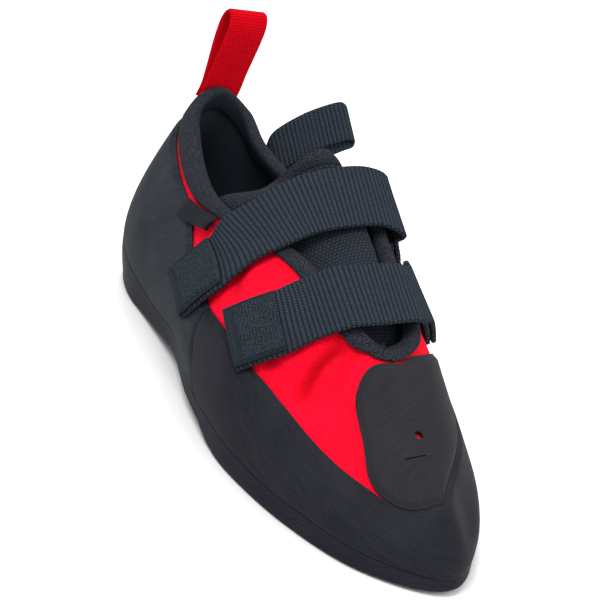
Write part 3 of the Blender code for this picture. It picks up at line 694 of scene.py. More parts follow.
def creases_at(points, sunk=0.0):
    """How far the upper is pressed in at each place, and how much painted shade darkens the nap there."""
    flat = points.reshape(-1, 3)
    press = np.zeros(len(flat))
    shade = np.zeros(len(flat))
    for turn_a, share_a, turn_b, share_b, half, depth in CREASES:
        t = np.linspace(0, 1, 25)
        along = 1 - np.abs(2 * t - 1) ** 3
        line = at(turn_a + (turn_b - turn_a) * t, share_a + (share_b - share_a) * t, -depth * along * sunk)
        gaps = np.linalg.norm(flat[:, None] - line[None], axis=-1)
        gap = gaps.min(axis=1)
        fade = along[gaps.argmin(axis=1)]
        trough = np.exp(-(gap / half) ** 2) * fade
        press -= depth * trough
        press += depth * CREASE_LIP * np.exp(-((gap - LIP_AT * half) / half) ** 2) * fade
        # Painted shade along each trough, fuller for deeper troughs.
        shade = np.maximum(shade, trough * (depth / DARKEST_AT) ** 0.8)
    return press.reshape(points.shape[:-1]), shade.clip(0, 1)


def make_upper():
    turn, share = np.meshgrid(np.linspace(0, ROUND, ROUND * COLUMNS_PER_SECTION + 1),
                              np.linspace(0, 1, UPPER_ROWS), indexing="ij")
    press, _ = creases_at(last_point(lean(turn, share), share))
    front = at(turn, share, press)
    shell = layer("upper_shell", front, at(turn, share, press - WALL), sheet_uv(front),
                  (RED_MICROFIBRE, SHADE_LIFTED_LINING), ("upper",))
    # The painted crease shade is stored on the vertices as the Crease colour.
    points = np.array([v.co for v in shell.data.vertices])
    values = np.repeat(creases_at(points, 1.0)[1][:, None], 4, axis=1)
    values[:, 3] = 1.0
    mark = shell.data.attributes.new("Crease", "FLOAT_COLOR", "POINT")
    mark.data.foreach_set("color", values.ravel())
    print("creases:", len(CREASES), "deepest press in mm:", round(-1000 * float(press.min()), 1))


make_upper()

# %% [markdown]
# Rubber goes over the upper in three sheets. Their free edges are skived, which means shaved thin, so that
# they don't peel: the sheet loses half of its thickness over its last few millimetres. Where the two sheets
# meet at the waist they butt together in a slanted seam.

# %% Heel cup and rand
SOLE_RIM = ((0, .19), (1.0, .19), (2.0, .18), (3.0, .08), (3.75, .07), (4.5, .10), (5.0, .11),
            (6.0, .145), (6.75, .15), (7.5, .13), (8.25, .125), (9.0, .10), (10, .09))
HEEL_CUP_TOP = ((0, .87), (.8, .862), (1.25, .855), (1.75, .858), (2.3, .872), (2.9, .890), (3.1, .86),
                (3.4, .80), (3.75, .64), (4.0, .57), (4.3, .545), (5.0, .535))
TOE_LINE = ((8.9, .66), (9.1, .665), (9.3, .70), (9.5, .80), (9.7, .90), (9.9, .945), (10.1, .945),
            (10.5, .91), (11.05, .85), (11.5, .78), (11.9, .71))      # where rand and patch meet
RAND_TOP = (((5, .535), (5.35, .56), (6.6, .61), (7.5, .622), (8.3, .628), (8.65, .65)) + TOE_LINE
            + ((12.3, .655), (12.7, .62), (13.4, .61), (14.65, .56), (15, .535)))
SKIVE = 0.0030
SKIVED = 0.45
SEAM_PACE = 0.027         # metres round the foot in one section, at the seams
SEAM_SOFT = 0.0012
SHEET_COLUMNS = 161
SHEET_ROWS = 49


def skived(to_edge):
    """Thickness of rubber at a distance from its free edge."""
    return RUBBER * (SKIVED + (1 - SKIVED) * ease(to_edge / SKIVE))


def rubber_sheet(node, start, end, top_table, finish):
    """Rubber between the sole's rim and a top edge, skived along that edge."""
    turn, v = np.meshgrid(np.linspace(start, end, SHEET_COLUMNS), soft_steps(SHEET_ROWS, 1.6),
                          indexing="ij")
    low = soft_value(SOLE_RIM, turn) + EDGE_GAP
    high = soft_value(top_table, turn)
    share = low + (high - low) * v
    inner = at(turn, share, FIT)
    rise = np.linalg.norm(np.diff(inner, axis=1), axis=-1)
    to_top = np.cumsum(rise[:, ::-1], axis=1)[:, ::-1]
    to_top = np.concatenate([to_top, np.zeros((SHEET_COLUMNS, 1))], axis=1)
    seam = np.minimum(turn - start, end - turn) * SEAM_PACE
    thick = skived(to_top) * (0.75 + 0.25 * ease(seam / SEAM_SOFT))
    layer(node + "_rubber", at(turn, share, FIT + thick), inner, sheet_uv(inner), (finish,),
          (node,))


rubber_sheet("heel_cup", -SEAM_TURN + SEAM_GAP, SEAM_TURN - SEAM_GAP, HEEL_CUP_TOP, CUP_RUBBER)
rubber_sheet("toe_rand", SEAM_TURN + SEAM_GAP, ROUND - SEAM_TURN - SEAM_GAP, RAND_TOP, RAND_RUBBER)

# %% [markdown]
# The toe patch crosses the ridge of the toes, so its grid does too: stations run from its upper edge to the
# toe, and each runs from the outer edge over the ridge to the inner edge. One round hole shows the red
# below it. A short slit is cut behind the hole. Both are Boolean cuts, because they are real holes in rubber.

# %% Toe patch
PATCH_LOW = (((7.3, .865), (7.5, .842), (7.7, .82), (8.0, .80), (8.3, .76), (8.65, .67)) + TOE_LINE
             + ((12.3, .66), (12.7, .645), (13.0, .66), (13.75, .70)))
PATCH_START = 7.22
PATCH_CORNER = 0.42
PATCH_CORNER_FROM = 0.30
PATCH_INNER_START = ((0, 7.24), (.1, 7.22), (.2, 7.08), (.27, 6.88), (.4, 6.68), (.62, 6.45), (1.0, 6.20))
PATCH_STATIONS = 81
PATCH_STRIPS = 97
PATCH_HOLE = 0.0033
PATCH_HOLE_SPOT = (8.22, 0.985)
SLIT_ENDS = ((8.595, 0.885), (8.605, 0.98))
SLIT_WIDTH = 0.0005
SLIT_DEPTH = 0.0007


def patch_shape():
    """Turn and share of the patch's grid."""
    k, c = np.meshgrid(soft_steps(PATCH_STATIONS, 1.5), np.linspace(-1, 1, PATCH_STRIPS), indexing="ij")
    wide = np.abs(c)
    corner = ((wide - PATCH_CORNER_FROM) / (1 - PATCH_CORNER_FROM)).clip(0, 1)
    start = np.where(c < 0, PATCH_START + PATCH_CORNER * (1 - np.sqrt(1 - corner ** 2)),
                     soft_value(PATCH_INNER_START, wide, 0.07))
    fold = start + (TOE - start) * k
    low_outer = soft_value(PATCH_LOW, fold.clip(PATCH_LOW[0][0], TOE))
    low_inner = soft_value(PATCH_LOW, (ROUND - fold).clip(TOE, PATCH_LOW[-1][0]))
    low = np.where(c < 0, low_outer, low_inner) + EDGE_GAP
    return np.where(c < 0, fold, ROUND - fold), 1 - wide * (1 - low)


def make_patch():
    turn, share = patch_shape()
    inner = at(turn, share, FIT)
    to_edge = np.full(turn.shape, 1.0)
    for spot in np.concatenate([inner[0], inner[:, 0], inner[:, -1]]):
        to_edge = np.minimum(to_edge, np.linalg.norm(inner - spot, axis=-1))
    patch = layer("toe_patch_rubber", at(turn, share, FIT + skived(to_edge)), inner, sheet_uv(inner),
                  (PATCH_RUBBER,), ("toe_patch",))
    print("loose faces dropped at the patch's tip:", drop_loose_faces(patch))
    for label, cutter in (("hole", round_punch()), ("slit", slit_punch())):
        cut = patch.modifiers.new(label, "BOOLEAN")
        cut.operation = "DIFFERENCE"
        cut.solver = "EXACT"
        cut.object = cutter
        apply_modifiers(patch)
        bpy.data.objects.remove(cutter, do_unlink=True)


def drop_loose_faces(piece, passes=3):
    """Delete the faces that hang on a closed shell by an edge, and tell how many there were."""
    mesh = bmesh.new()
    mesh.from_mesh(piece.data)
    bmesh.ops.dissolve_degenerate(mesh, edges=mesh.edges, dist=MERGE)
    count = 0
    for _ in range(passes):
        loose = [face for face in mesh.faces if any(len(edge.link_faces) == 1 for edge in face.edges)]
        count += len(loose)
        bmesh.ops.delete(mesh, geom=loose, context="FACES")
    mesh.to_mesh(piece.data)
    mesh.free()
    return count


def apply_modifiers(piece):
    """Bake a piece's modifiers into its mesh."""
    graph = bpy.context.evaluated_depsgraph_get()
    done = bpy.data.meshes.new_from_object(piece.evaluated_get(graph), preserve_all_data_layers=True,
                                           depsgraph=graph)
    piece.modifiers.clear()
    old = piece.data
    piece.data = done
    bpy.data.meshes.remove(old)


def punch_object(mesh, axes, spot):
    """Cutter at a spot, turned so that its own axes lie along the given ones."""
    bmesh.ops.transform(mesh, verts=mesh.verts,
                        matrix=Matrix.Translation(spot) @ Matrix(axes).transposed().to_4x4())
    return object_from(mesh, "punch")


def round_punch():
    mesh = bmesh.new()
    bmesh.ops.create_cone(mesh, cap_ends=True, segments=24, radius1=PATCH_HOLE / 2, radius2=PATCH_HOLE / 2,
                          depth=PATCH_HOLE * 4)
    up = Vector(last_normal(*PATCH_HOLE_SPOT))
    side = up.orthogonal().normalized()
    return punch_object(mesh, (side, up.cross(side), up), Vector(last_point(*PATCH_HOLE_SPOT)))


def slit_punch():
    """Thin box that only scratches the patch's face between both ends of the slit."""
    ends = [Vector(at(turn, share, FIT + RUBBER)) for turn, share in SLIT_ENDS]
    up = Vector(last_normal(*SLIT_ENDS[0]) + last_normal(*SLIT_ENDS[1])).normalized()
    along = (ends[1] - ends[0]).normalized()
    side = up.cross(along).normalized()
    mesh = bmesh.new()
    bmesh.ops.create_cube(mesh, size=1.0)
    bmesh.ops.scale(mesh, verts=mesh.verts, vec=((ends[1] - ends[0]).length, SLIT_WIDTH, SLIT_DEPTH * 2))
    return punch_object(mesh, (along, side, along.cross(side)), (ends[0] + ends[1]) / 2)


make_patch()

# %% [markdown]
# The collar and the throat are bound with a knit band, folded over the edge and stitched through. Seen in
# section it is a thin hook: a ply outside, a round fold over the edge and a ply inside. That section is swept
# round the whole opening.

# %% Collar binding
BINDING = 0.0012
COLLAR_PAD = 0.0013
BINDING_LOW = ((0, .885), (1, .88), (1.75, .885), (2.3, .90), (2.9, .922), (3.3, .938), (3.8, .948),
               (4.4, .948), (5, .945), (5.5, .95), (6, .945), (6.25, .935), (6.5, .935), (6.72, .955),
               (6.88, .985), (7, 1.0))
BINDING_SHIFT = ((0, 0), (5.25, 0), (5.5, .04), (6, .155), (6.25, .33), (6.5, .50), (6.72, .430),
                 (6.88, .31), (7, .195))
BINDING_EASE = ((0, .3), (4.5, .3), (5, 1.0), (5.6, .7), (6.25, 1.0), (6.75, 2.0), (7, 2.0))
BINDING_REACH = 0.08
BINDING_COUNT = 420
FOLD_SPOTS = 9
FOLD_START = 0.12
FOLD_FLAT = 0.62
FOLD_LIFT = 0.0004
LINED_FROM = 12           # spot of the section where the inside of the band starts


def on_binding(turn, down, offset):
    """Points on the band, from the collar's edge (down 0) to the band's lower edge (down 1)."""
    shift = np.where(turn < 0, -1.0, 1.0) * soft_value(BINDING_SHIFT, turn, BINDING_REACH)
    share = 1.0 + (soft_value(BINDING_LOW, turn, BINDING_REACH) - 1.0) * down
    return at(turn + shift * down, share, offset)


def binding_outside(turn):
    """Offset of the band's outer ply from the upper, with the slack that it has round the throat."""
    return FIT + FIT * table_value(BINDING_EASE, turn)


def ring_loft(name, sections, finishes, replaced, inner):
    """Closed tube through rings of points, [ring, point, xyz]; the second finish is for its inside."""
    rings = np.concatenate([sections, sections[:1]])
    rings = np.concatenate([rings, rings[:, :1]], axis=1)
    mesh = mapped_grid(rings, sheet_uv(rings))
    cloth_map = mesh.loops.layers.uv["Cloth"]
    start = run_along(rings[len(rings) // 2, :inner + 1])[-1]
    for face in mesh.faces:
        across = sum(loop[cloth_map].uv.y for loop in face.loops) / len(face.loops)
        face.material_index = 1 if across > start else 0
    bmesh.ops.remove_doubles(mesh, verts=mesh.verts, dist=MERGE)
    finish_piece(name, mesh, finishes, replaced, 50.0)


def binding_sections():
    turn = np.linspace(-THROAT_END, THROAT_END, BINDING_COUNT, endpoint=False)
    outer = binding_outside(turn)
    inner = -WALL - FIT - outer
    top = at(turn, 1.0)
    normal = at(turn, 1.0, 1.0) - top
    rise = unit(top - on_binding(turn, 1.0, 0.0))
    outside = [on_binding(turn, down, outer + over)
               for down, over in ((1.0, 0.0001), (1.0, BINDING * 0.6), (0.93, BINDING * 0.9))]
    outside += [on_binding(turn, down, outer + BINDING + 0.0003 * math.sin(math.pi * (1 - down)))
                for down in (0.75, 0.5, 0.25)]
    middle = top + normal * ((outer + BINDING + inner - COLLAR_PAD) / 2)[:, None] + rise * FOLD_LIFT
    radius = ((outer + BINDING - inner + COLLAR_PAD) / 2)[:, None]
    fold = [middle + normal * radius * math.cos(a) + rise * radius * FOLD_FLAT * math.sin(a)
            for a in np.linspace(FOLD_START, math.pi - FOLD_START, FOLD_SPOTS)]
    inside = [on_binding(turn, down, inner - pad)
              for down, pad in ((0.3, COLLAR_PAD), (0.6, COLLAR_PAD), (0.9, COLLAR_PAD),
                                (1.0, COLLAR_PAD * 0.5), (1.0, 0.0))]
    hollow = [top + normal * depth[:, None] + rise * outer[:, None] for depth in (inner, outer)]
    return np.stack(outside + fold + inside + hollow, axis=1)


ring_loft("collar_binding_knit", binding_sections(), (KNIT, FOLD_CLOTH),
          ("collar_binding",), LINED_FROM)

# %% [markdown]
# The soles are cupped: they wrap a little up round the rand. Their section runs down from the rim over the
# widest point to the walking edge and across the flat underside. A finer loft than the model's gives them a
# smooth edge, and they meet at the slanted joint under the waist.

# %% Soles
SOLE_LIP = 0.0014
SOLE_UNDERCUT = 0.0012
SOLE_BELLY = 0.0006
SOLE_EDGE = 0.0006        # width of the rounded walking edge
SOLE_SECTIONS = 18        # per section of the last
ARCH_LIFT = 0.0088
SOLE_BOTTOM = (           # turn, then heights of outer edge, middle and inner edge over ARCH_LIFT
    (0.0, .41, .41, .41), (0.5, .30, .20, .30), (1.0, .16, .0, .16), (1.5, 0, 0, 0),
    (2.25, 0, 0, 0), (3.0, .18, .14, .30), (4.0, .66, .68, 1.0), (5.0, .41, .45, .66),
    (6.0, .07, .07, .14), (6.5, 0, 0, 0), (8.25, 0, 0, 0), (9.0, .034, .023, .034),
    (9.5, .09, .08, .09), (10.0, .18, .18, .18))
BOTTOM_REACH = 0.15


def bottom_heights(turn):
    """Heights of the underside's outer edge, middle and inner edge, exactly 0 where the sole is flat."""
    turns, *heights = zip(*SOLE_BOTTOM)
    raised = (turn > 2.4) & (turn < 6.3) | (turn < 1.35) | (turn > 8.4)
    return [sum(np.interp(turn + shift, turns, row) for shift in (-BOTTOM_REACH, 0, BOTTOM_REACH))
            / 3 * ARCH_LIFT * raised for row in heights]


def sole_side(turn, bottom, mirrored):
    """Rim, side and walking edge of a sole on one side, from the rim down."""
    turn = ROUND - turn if mirrored else turn
    rim = soft_value(SOLE_RIM, turn)
    feather = at(turn, 0.0)
    out = at(turn, 0.0, 1.0) - feather
    out[:, 2] = 0.0
    out = unit(out)
    wide = feather + out * (FIT + RUBBER + SOLE_LIP)
    wide[:, 2] = np.maximum(feather[:, 2] - RUBBER, bottom + RUBBER)
    walk = wide - out * SOLE_UNDERCUT
    walk[:, 2] = bottom
    rim_out = at(turn, rim, FIT + RUBBER)
    belly = at(turn, rim * 0.55, FIT + RUBBER + SOLE_BELLY)
    belly = np.where((belly[:, 2] > wide[:, 2])[:, None], belly, (rim_out + wide) / 2)
    bed = at(turn, 0.0, FIT)
    bed[:, 2] -= FIT
    spots = [at(turn, rim, FIT), rim_out - (rim_out - belly) * 0.04]
    spots += [rim_out * (1 - t) * (2 - t) / 2 + belly * t * (2 - t) - wide * t * (1 - t) / 2
              for t in (0.25, 0.5, 0.75, 1.0, 1.25, 1.5, 1.75, 1.92)]
    spots += [wide, wide * 0.45 + walk * 0.55 + out * 0.00025, walk + (wide - walk) * 0.12,
              walk - out * SOLE_EDGE]
    spots[-1][:, 2] = bottom
    return spots, bed


def make_sole(node, start, end):
    turn = np.linspace(start, end, round((end - start) * SOLE_SECTIONS) + 1)
    outer_low, middle_low, inner_low = bottom_heights(turn)
    outer, outer_bed = sole_side(turn, outer_low, False)
    inner, inner_bed = sole_side(turn, inner_low, True)
    below, above = [], []
    for share in (0.1, 0.25, 0.4, 0.5, 0.6, 0.75, 0.9):
        low = between(outer[-1], inner[-1], share)
        low[:, 2] = np.where(share < 0.5, outer_low + (middle_low - outer_low) * share * 2,
                             middle_low + (inner_low - middle_low) * (share * 2 - 1))
        below.append(low)
        above.append(between(outer_bed, inner_bed, share))
    ring = np.stack(outer + below + inner[::-1] + [inner_bed] + above[::-1] + [outer_bed], axis=1)
    ring = np.concatenate([ring, ring[:, :1]], axis=1)
    mesh = mapped_grid(ring, sheet_uv(ring))
    bmesh.ops.remove_doubles(mesh, verts=mesh.verts, dist=MERGE)
    rims = [edge for edge in mesh.edges if edge.is_boundary]
    caps = bmesh.ops.holes_fill(mesh, edges=rims, sides=0)["faces"]
    bmesh.ops.triangulate(mesh, faces=caps, ngon_method="EAR_CLIP")
    finish_piece(node + "_rubber", mesh, (SOLE_RUBBER,), (node,), 50.0)


make_sole("heel_outsole", 0.0, SEAM_TURN - SEAM_GAP)
make_sole("forefoot_outsole", SEAM_TURN + SEAM_GAP, float(TOE))

# %% [markdown]
# The tongue is padded mesh cloth, arched over the instep, with a bound edge at its top. It is made from a
# small table of spots, smoothed both ways, and given its thickness as a slightly puffed pad.

# %% Tongue
TONGUE = 0.0026
TONGUE_ROWS = (
    ((.287, -.245, .84), (.297, -.205, .91), (.315, -.075, .99), (.343, -.037, 1.14), (.352, .030, 1.265),
     (.345, .135, 1.295), (.338, .225, 1.185)),
    ((.352, -.230, .81), (.359, -.175, .93), (.367, -.08, 1.06), (.371, .02, 1.16), (.375, .11, 1.215),
     (.375, .20, 1.21), (.37, .25, 1.12)),
    ((.43, -.220, .77), (.43, -.155, .90), (.434, -.07, 1.00), (.434, .03, 1.065), (.434, .13, 1.105),
     (.434, .20, 1.105), (.43, .235, 1.05)),
    ((.516, -.195, .71), (.516, -.135, .81), (.52, -.06, .905), (.52, .03, .970), (.52, .12, 1.005),
     (.52, .18, 1.005), (.516, .212, .96)),
    ((.60, -.175, .64), (.60, -.115, .745), (.60, -.045, .825), (.60, .03, .865), (.60, .10, .875),
     (.60, .16, .865), (.60, .203, .82)),
    ((.672, -.13, .58), (.672, -.080, .645), (.672, -.02, .68), (.672, .04, .695), (.672, .10, .70),
     (.672, .145, .70), (.672, .183, .675)),
    ((.735, -.09, .53), (.735, -.06, .555), (.735, -.01, .57), (.735, .04, .575), (.735, .085, .575),
     (.735, .13, .565), (.735, .165, .545)))


def spot_point(spot):
    return np.array((spot[0] * LENGTH - HEEL_REACH, spot[1] * BALL_WIDTH, spot[2] * INSTEP_HEIGHT))


def smooth_rows(rows, steps):
    """Open Catmull-Rom through rows of points, along the first axis."""
    rows = np.asarray(rows, float)
    padded = np.concatenate([[2 * rows[0] - rows[1]], rows, [2 * rows[-1] - rows[-2]]])
    out = [catmull(*padded[i:i + 4], t) for i in range(len(rows) - 1) for t in np.arange(steps) / steps]
    return np.array(out + [rows[-1]])


def sheet_normals(points, towards):
    """Normals of a sheet of points, facing a direction."""
    normal = unit(np.cross(np.gradient(points, axis=0), np.gradient(points, axis=1)))
    return normal if (normal @ np.asarray(towards, float)).sum() > 0 else -normal


TONGUE_STEPS = (12, 10)   # along and across
EDGING_ROWS = 9
EDGING_OVER = 0.0002
EDGING_PUFF = 0.0006
EDGING_REACH = 0.0004


def make_tongue():
    rows = np.array([[spot_point(s) for s in row] for row in TONGUE_ROWS])
    for steps in TONGUE_STEPS:
        rows = smooth_rows(rows, steps).transpose(1, 0, 2)
    normal = sheet_normals(rows, (0.3, 0, 1))
    count, wide = rows.shape[:2]
    u, v = np.meshgrid(np.linspace(0, 1, count), np.linspace(-1, 1, wide), indexing="ij")
    edge = ease((1 - np.abs(v)) / 0.12) * ease(u / 0.02 + 0.35)
    back = rows - normal * (TONGUE * (0.45 + 0.55 * edge))[..., None]
    pad = layer("tongue_pad", rows, back, sheet_uv(rows), (MESH_CLOTH,), ("tongue",))
    puff = EDGING_PUFF * np.sin(np.linspace(0.25, math.pi - 0.1, EDGING_ROWS))[:, None, None]
    over = normal[:EDGING_ROWS] * (EDGING_OVER + puff)
    top = rows[:EDGING_ROWS] + over
    low = back[:EDGING_ROWS] - over
    reach = unit(rows[0] - rows[1]) * EDGING_REACH
    top[0] += reach
    low[0] += reach
    layer("tongue_edging", top, low, sheet_uv(top), (KNIT,))
    return rows, normal, pad


tongue_rows, tongue_normals, tongue = make_tongue()

# %% [markdown]
# A strap is flat webbing. Its path is a table of rows, some lying on the upper, some free over the tongue
# and some sewn down on the inner side. The ribs that run across real webbing are true ridges here, about
# 2 mm apart, and fade into a firm selvedge at both edges.

# %% Straps
WEBBING = 0.0020
STRAP_WIDTH = 0.0288
BINDING_OVER = FIT + BINDING + FIT
OVER_RUBBER = FIT + RUBBER + 2 * FIT
WEBBING_RIBS = (0.0019, 0.00024)     # pitch and height in metres
WEBBING_ROUND = (0.28, 0.035)        # depth over the thickness, reach over the width
SELVEDGE = 0.06
ROW_STEPS = 40
ABOVE_SHOE = (0.09, 0.0, 0.20)
BESIDE_SHOE = (0.09, 0.2, 0.05)
REAR_STRAP = (            # what the row lies on, then its rear and its front end
    ("last", (3.66, .44), (4.57, .35)),
    ("last", (3.96, .62), (4.83, .54)),
    ("last", (4.10, .785), (4.95, .68)),
    ("last", (4.02, .96), (4.90, .855)),
    ("free", (.383, -.181, 1.048), (.494, -.166, .960)),
    ("free", (.385, -.040, 1.172), (.489, -.040, 1.030)),
    ("free", (.387, .130, 1.245), (.485, .110, 1.070)),
    ("free", (.386, .275, 1.258), (.483, .258, 1.085)),
    ("free", (.384, .378, 1.205), (.483, .366, 1.035)),
    ("ply", (16.0, .93), (15.2, .93)),
    ("ply", (16.0, .82), (15.2, .82)),
    ("ply", (16.0, .71), (15.2, .71)),
    ("ply", (15.95, .61), (15.15, .60)))
FRONT_STRAP = (
    ("last", (5.29, .615), (6.29, .530)),
    ("last", (5.40, .730), (6.42, .642)),
    ("last", (5.43, .835), (6.50, .745)),
    ("last", (5.36, .930), (6.42, .850)),
    ("free", (.572, -.085, .982), (.686, -.105, .828)),
    ("free", (.574, .050, 1.012), (.687, .020, .850)),
    ("free", (.567, .205, 1.014), (.682, .172, .866)),
    ("free", (.555, .300, .962), (.664, .266, .842)),
    ("ply", (14.9, .93), (14.13, .90)),
    ("ply", (14.92, .83), (14.15, .80)),
    ("ply", (14.94, .73), (14.17, .71)),
    ("ply", (14.94, .63), (14.17, .62)))


def strap_row(kind, rear, front, lift, across):
    """Points across a strap's inner face, brought to the strap's width."""
    if kind == "free":
        points = between(spot_point(rear), spot_point(front), across[:, None])
        points[:, 2] += lift
    else:
        base = OVER_RUBBER if kind == "last" else BINDING_OVER + WEBBING + 2 * FIT
        turn, share = (between(*ends, across) for ends in zip(rear, front))
        points = at(turn, share, base + lift)
    middle = points[len(across) // 2]
    return middle + (points - middle) * (STRAP_WIDTH / np.linalg.norm(points[-1] - points[0]))


def even_rows(rows, pitch):
    """Rows resampled to an even spacing along their middle."""
    run = run_along(rows[:, rows.shape[1] // 2])
    wanted = np.linspace(0, run[-1], max(int(run[-1] / pitch), 2) + 1)
    index = np.interp(wanted, run, np.arange(len(run)))
    start = np.floor(index).astype(int).clip(0, len(rows) - 2)
    return between(rows[start], rows[start + 1], (index - start)[:, None, None]), wanted


def to_border(across):
    """Distance to the nearer border, as a share of the width."""
    return 0.5 - np.abs(across - 0.5)


def rounded_off(border, thickness, shape):
    """How far a face drops towards both borders of a band."""
    depth, reach = shape
    return thickness * depth * (1 - ease(border / reach))


def rib_relief(run, border, ribs):
    """Height of the ribs at distances run along the webbing, with fine beads along both borders."""
    pitch, height = ribs
    rib = np.abs(np.sin(np.pi * run / pitch)) ** 0.7
    edge = ease(border / SELVEDGE)
    beads = 0.5 + 0.5 * np.sin(2 * np.pi * run / (pitch * 0.5))
    return height * (rib[:, None] * edge[None] + 0.5 * beads[:, None] * (1 - edge[None]))


def webbing_band(name, rows, node, side):
    """Closed band of webbing, ribbed on its outer side; side is a point on that side."""
    rows, run = even_rows(rows, WEBBING_RIBS[0] / 8)
    normal = sheet_normals(rows, (0, 0, 1))
    middle = (rows.shape[0] // 2, rows.shape[1] // 2)
    if normal[middle] @ (np.asarray(side) - rows[middle]) < 0:
        normal = -normal
    border = to_border(np.linspace(0, 1, rows.shape[1]))
    rounding = rounded_off(border, WEBBING, WEBBING_ROUND)
    relief = rib_relief(run, border, WEBBING_RIBS)
    front = rows + normal * (WEBBING - WEBBING_RIBS[1] + relief - rounding)[..., None]
    back = rows + normal * rounding[:, None]
    layer(name, front, back, sheet_uv(rows), (WEBBING_CLOTH,), (node,))


ACROSS = np.concatenate([[0, .012, .03, .055, .08], np.linspace(.12, .88, 19), [.92, .945, .97, .988, 1]])


def strap_sheet(table, lift, first=0, last=None):
    rows = np.array([strap_row(*row, lift, ACROSS) for row in table])[first:last]
    return smooth_rows(rows, ROW_STEPS)


def make_strap(name, table, fold):
    """Main ply of a strap, and the under ply that starts at row number fold."""
    webbing_band(name + "_webbing", strap_sheet(table, 0.0), name, ABOVE_SHOE)
    webbing_band(name + "_anchor_webbing", strap_sheet(table, -(WEBBING + 2 * FIT), fold), name + "_anchor",
                 BESIDE_SHOE)


make_strap("rear_strap", REAR_STRAP, 9)
make_strap("front_strap", FRONT_STRAP, 8)

# %% [markdown]
# Each strap ends in a cloth patch, sewn on with a row of close stitches. It is pressed down along its border,
# so it stands like a low cushion, and the middle panel is a little lighter than the border.

# %% Strap tabs and a helper for stitches
TAB = 0.0014
TAB_INSET = 0.0006
TAB_ROWS = 3
TAB_PACE = 0.0004
TAB_FREE = 0.0046
TAB_SIDE = 0.0016
TAB_STITCH = 0.0022
PANEL_RISE = 0.00022
GROOVE_DEPTH = 0.00030
GROOVE_WIDTH = 0.00045
TAB_ROLL = 0.0012
PANEL_ROLL = 0.0006
STITCHES = {              # length, gap and radius in metres
    "tab": (0.0011, 0.0007, 0.00024), "tab side": (0.0011, 0.0009, 0.00018),
    "binding": (0.0010, 0.0007, 0.00016), "tongue": (0.0014, 0.0009, 0.0002)}


def stitch_row(name, path, normals, kind, finish=THREAD):
    """Row of small stitches along a path, as one joined mesh."""
    length, gap, radius = STITCHES[kind]
    step = run_along(path)
    count = int(step[-1] / (length + gap))
    mesh = bmesh.new()

    def value_at(place, values):
        return np.array([np.interp(place, step, values[:, i]) for i in range(3)])

    for k in range(count):
        mid = (k + 0.5) * step[-1] / count
        start, end = (value_at(mid + d, path) for d in (-length / 2, length / 2))
        up = Vector(value_at(mid, normals)).normalized()
        along = Vector(end - start).normalized()
        side = up.cross(along).normalized()
        turned = Matrix((along, side, along.cross(side))).transposed().to_4x4()
        made = bmesh.ops.create_icosphere(mesh, subdivisions=1, radius=1.0)["verts"]
        bmesh.ops.scale(mesh, verts=made, vec=(length * 0.56, radius, radius * 0.7))
        bmesh.ops.transform(mesh, verts=made, matrix=Matrix.Translation(Vector((start + end) / 2)) @ turned)
    mesh.loops.layers.uv.new("Cloth")
    finish_piece(name, mesh, (finish,), (), 60.0)


def make_tab(name, table):
    """Cushioned cloth patch: plain border, a raised lighter panel and a pressed weld at its inner end."""
    rows = strap_sheet(table, WEBBING + 2 * FIT, 0, TAB_ROWS)
    middle = rows[:, rows.shape[1] // 2][:, None]
    rows = middle + (rows - middle) * (1 - 2 * TAB_INSET / STRAP_WIDTH)
    rows, run = even_rows(rows, TAB_PACE)
    rows, run = rows[2:], run[2:] - run[2]
    normal = sheet_normals(rows, (0, -1, 0.2))
    outward = Vector(normal[len(rows) // 2, rows.shape[1] // 2])
    to_side = to_border(ACROSS) * STRAP_WIDTH
    edge = np.minimum(np.minimum(run, run[-1] - run)[:, None], to_side[None])
    inside = np.minimum(np.minimum(run - TAB_FREE, run[-1] - run)[:, None], (to_side - TAB_SIDE)[None])
    thick = TAB * (0.30 + 0.60 * ease(edge / TAB_ROLL)) + PANEL_RISE * ease(inside / PANEL_ROLL)
    thick -= GROOVE_DEPTH * np.exp(-((inside / GROOVE_WIDTH) ** 2))
    front = rows + normal * thick[..., None]
    tab = layer(name + "_cloth", front, rows, sheet_uv(rows), (TAB_CLOTH,), (name,))
    tab.data.materials.append(PANEL_CLOTH)
    cloth_map = tab.data.uv_layers["Cloth"].data
    width = run_along(rows[len(rows) // 2])[-1]
    for face in tab.data.polygons:
        u, v = np.mean([cloth_map[i].uv for i in face.loop_indices], axis=0)
        if u > TAB_FREE and TAB_SIDE < v < width - TAB_SIDE and face.normal.dot(outward) > 0:
            face.material_index = 1
    print(name, "panel faces:", sum(face.material_index for face in tab.data.polygons))
    line = int(np.searchsorted(run, TAB_STITCH))
    row = (ACROSS > 0.06) & (ACROSS < 0.94)
    stitch_row(name + "_stitches", front[line][row], normal[line][row], "tab")
    for number, side in enumerate((0.06, 0.935)):
        column = int(np.searchsorted(ACROSS, side))
        stitch_row(name + "_side_stitches_" + str(number), front[line:-3, column], normal[line:-3, column],
                   "tab side", TAB_CLOTH)


make_tab("rear_strap_tab", REAR_STRAP)
make_tab("front_strap_tab", FRONT_STRAP)

# %% [markdown]
# Two loops of tape help to pull the shoe on: a red one at the back and a black ribbed one at the inner side.
# Each is a path in the shoe's own sizes, widened to both sides.

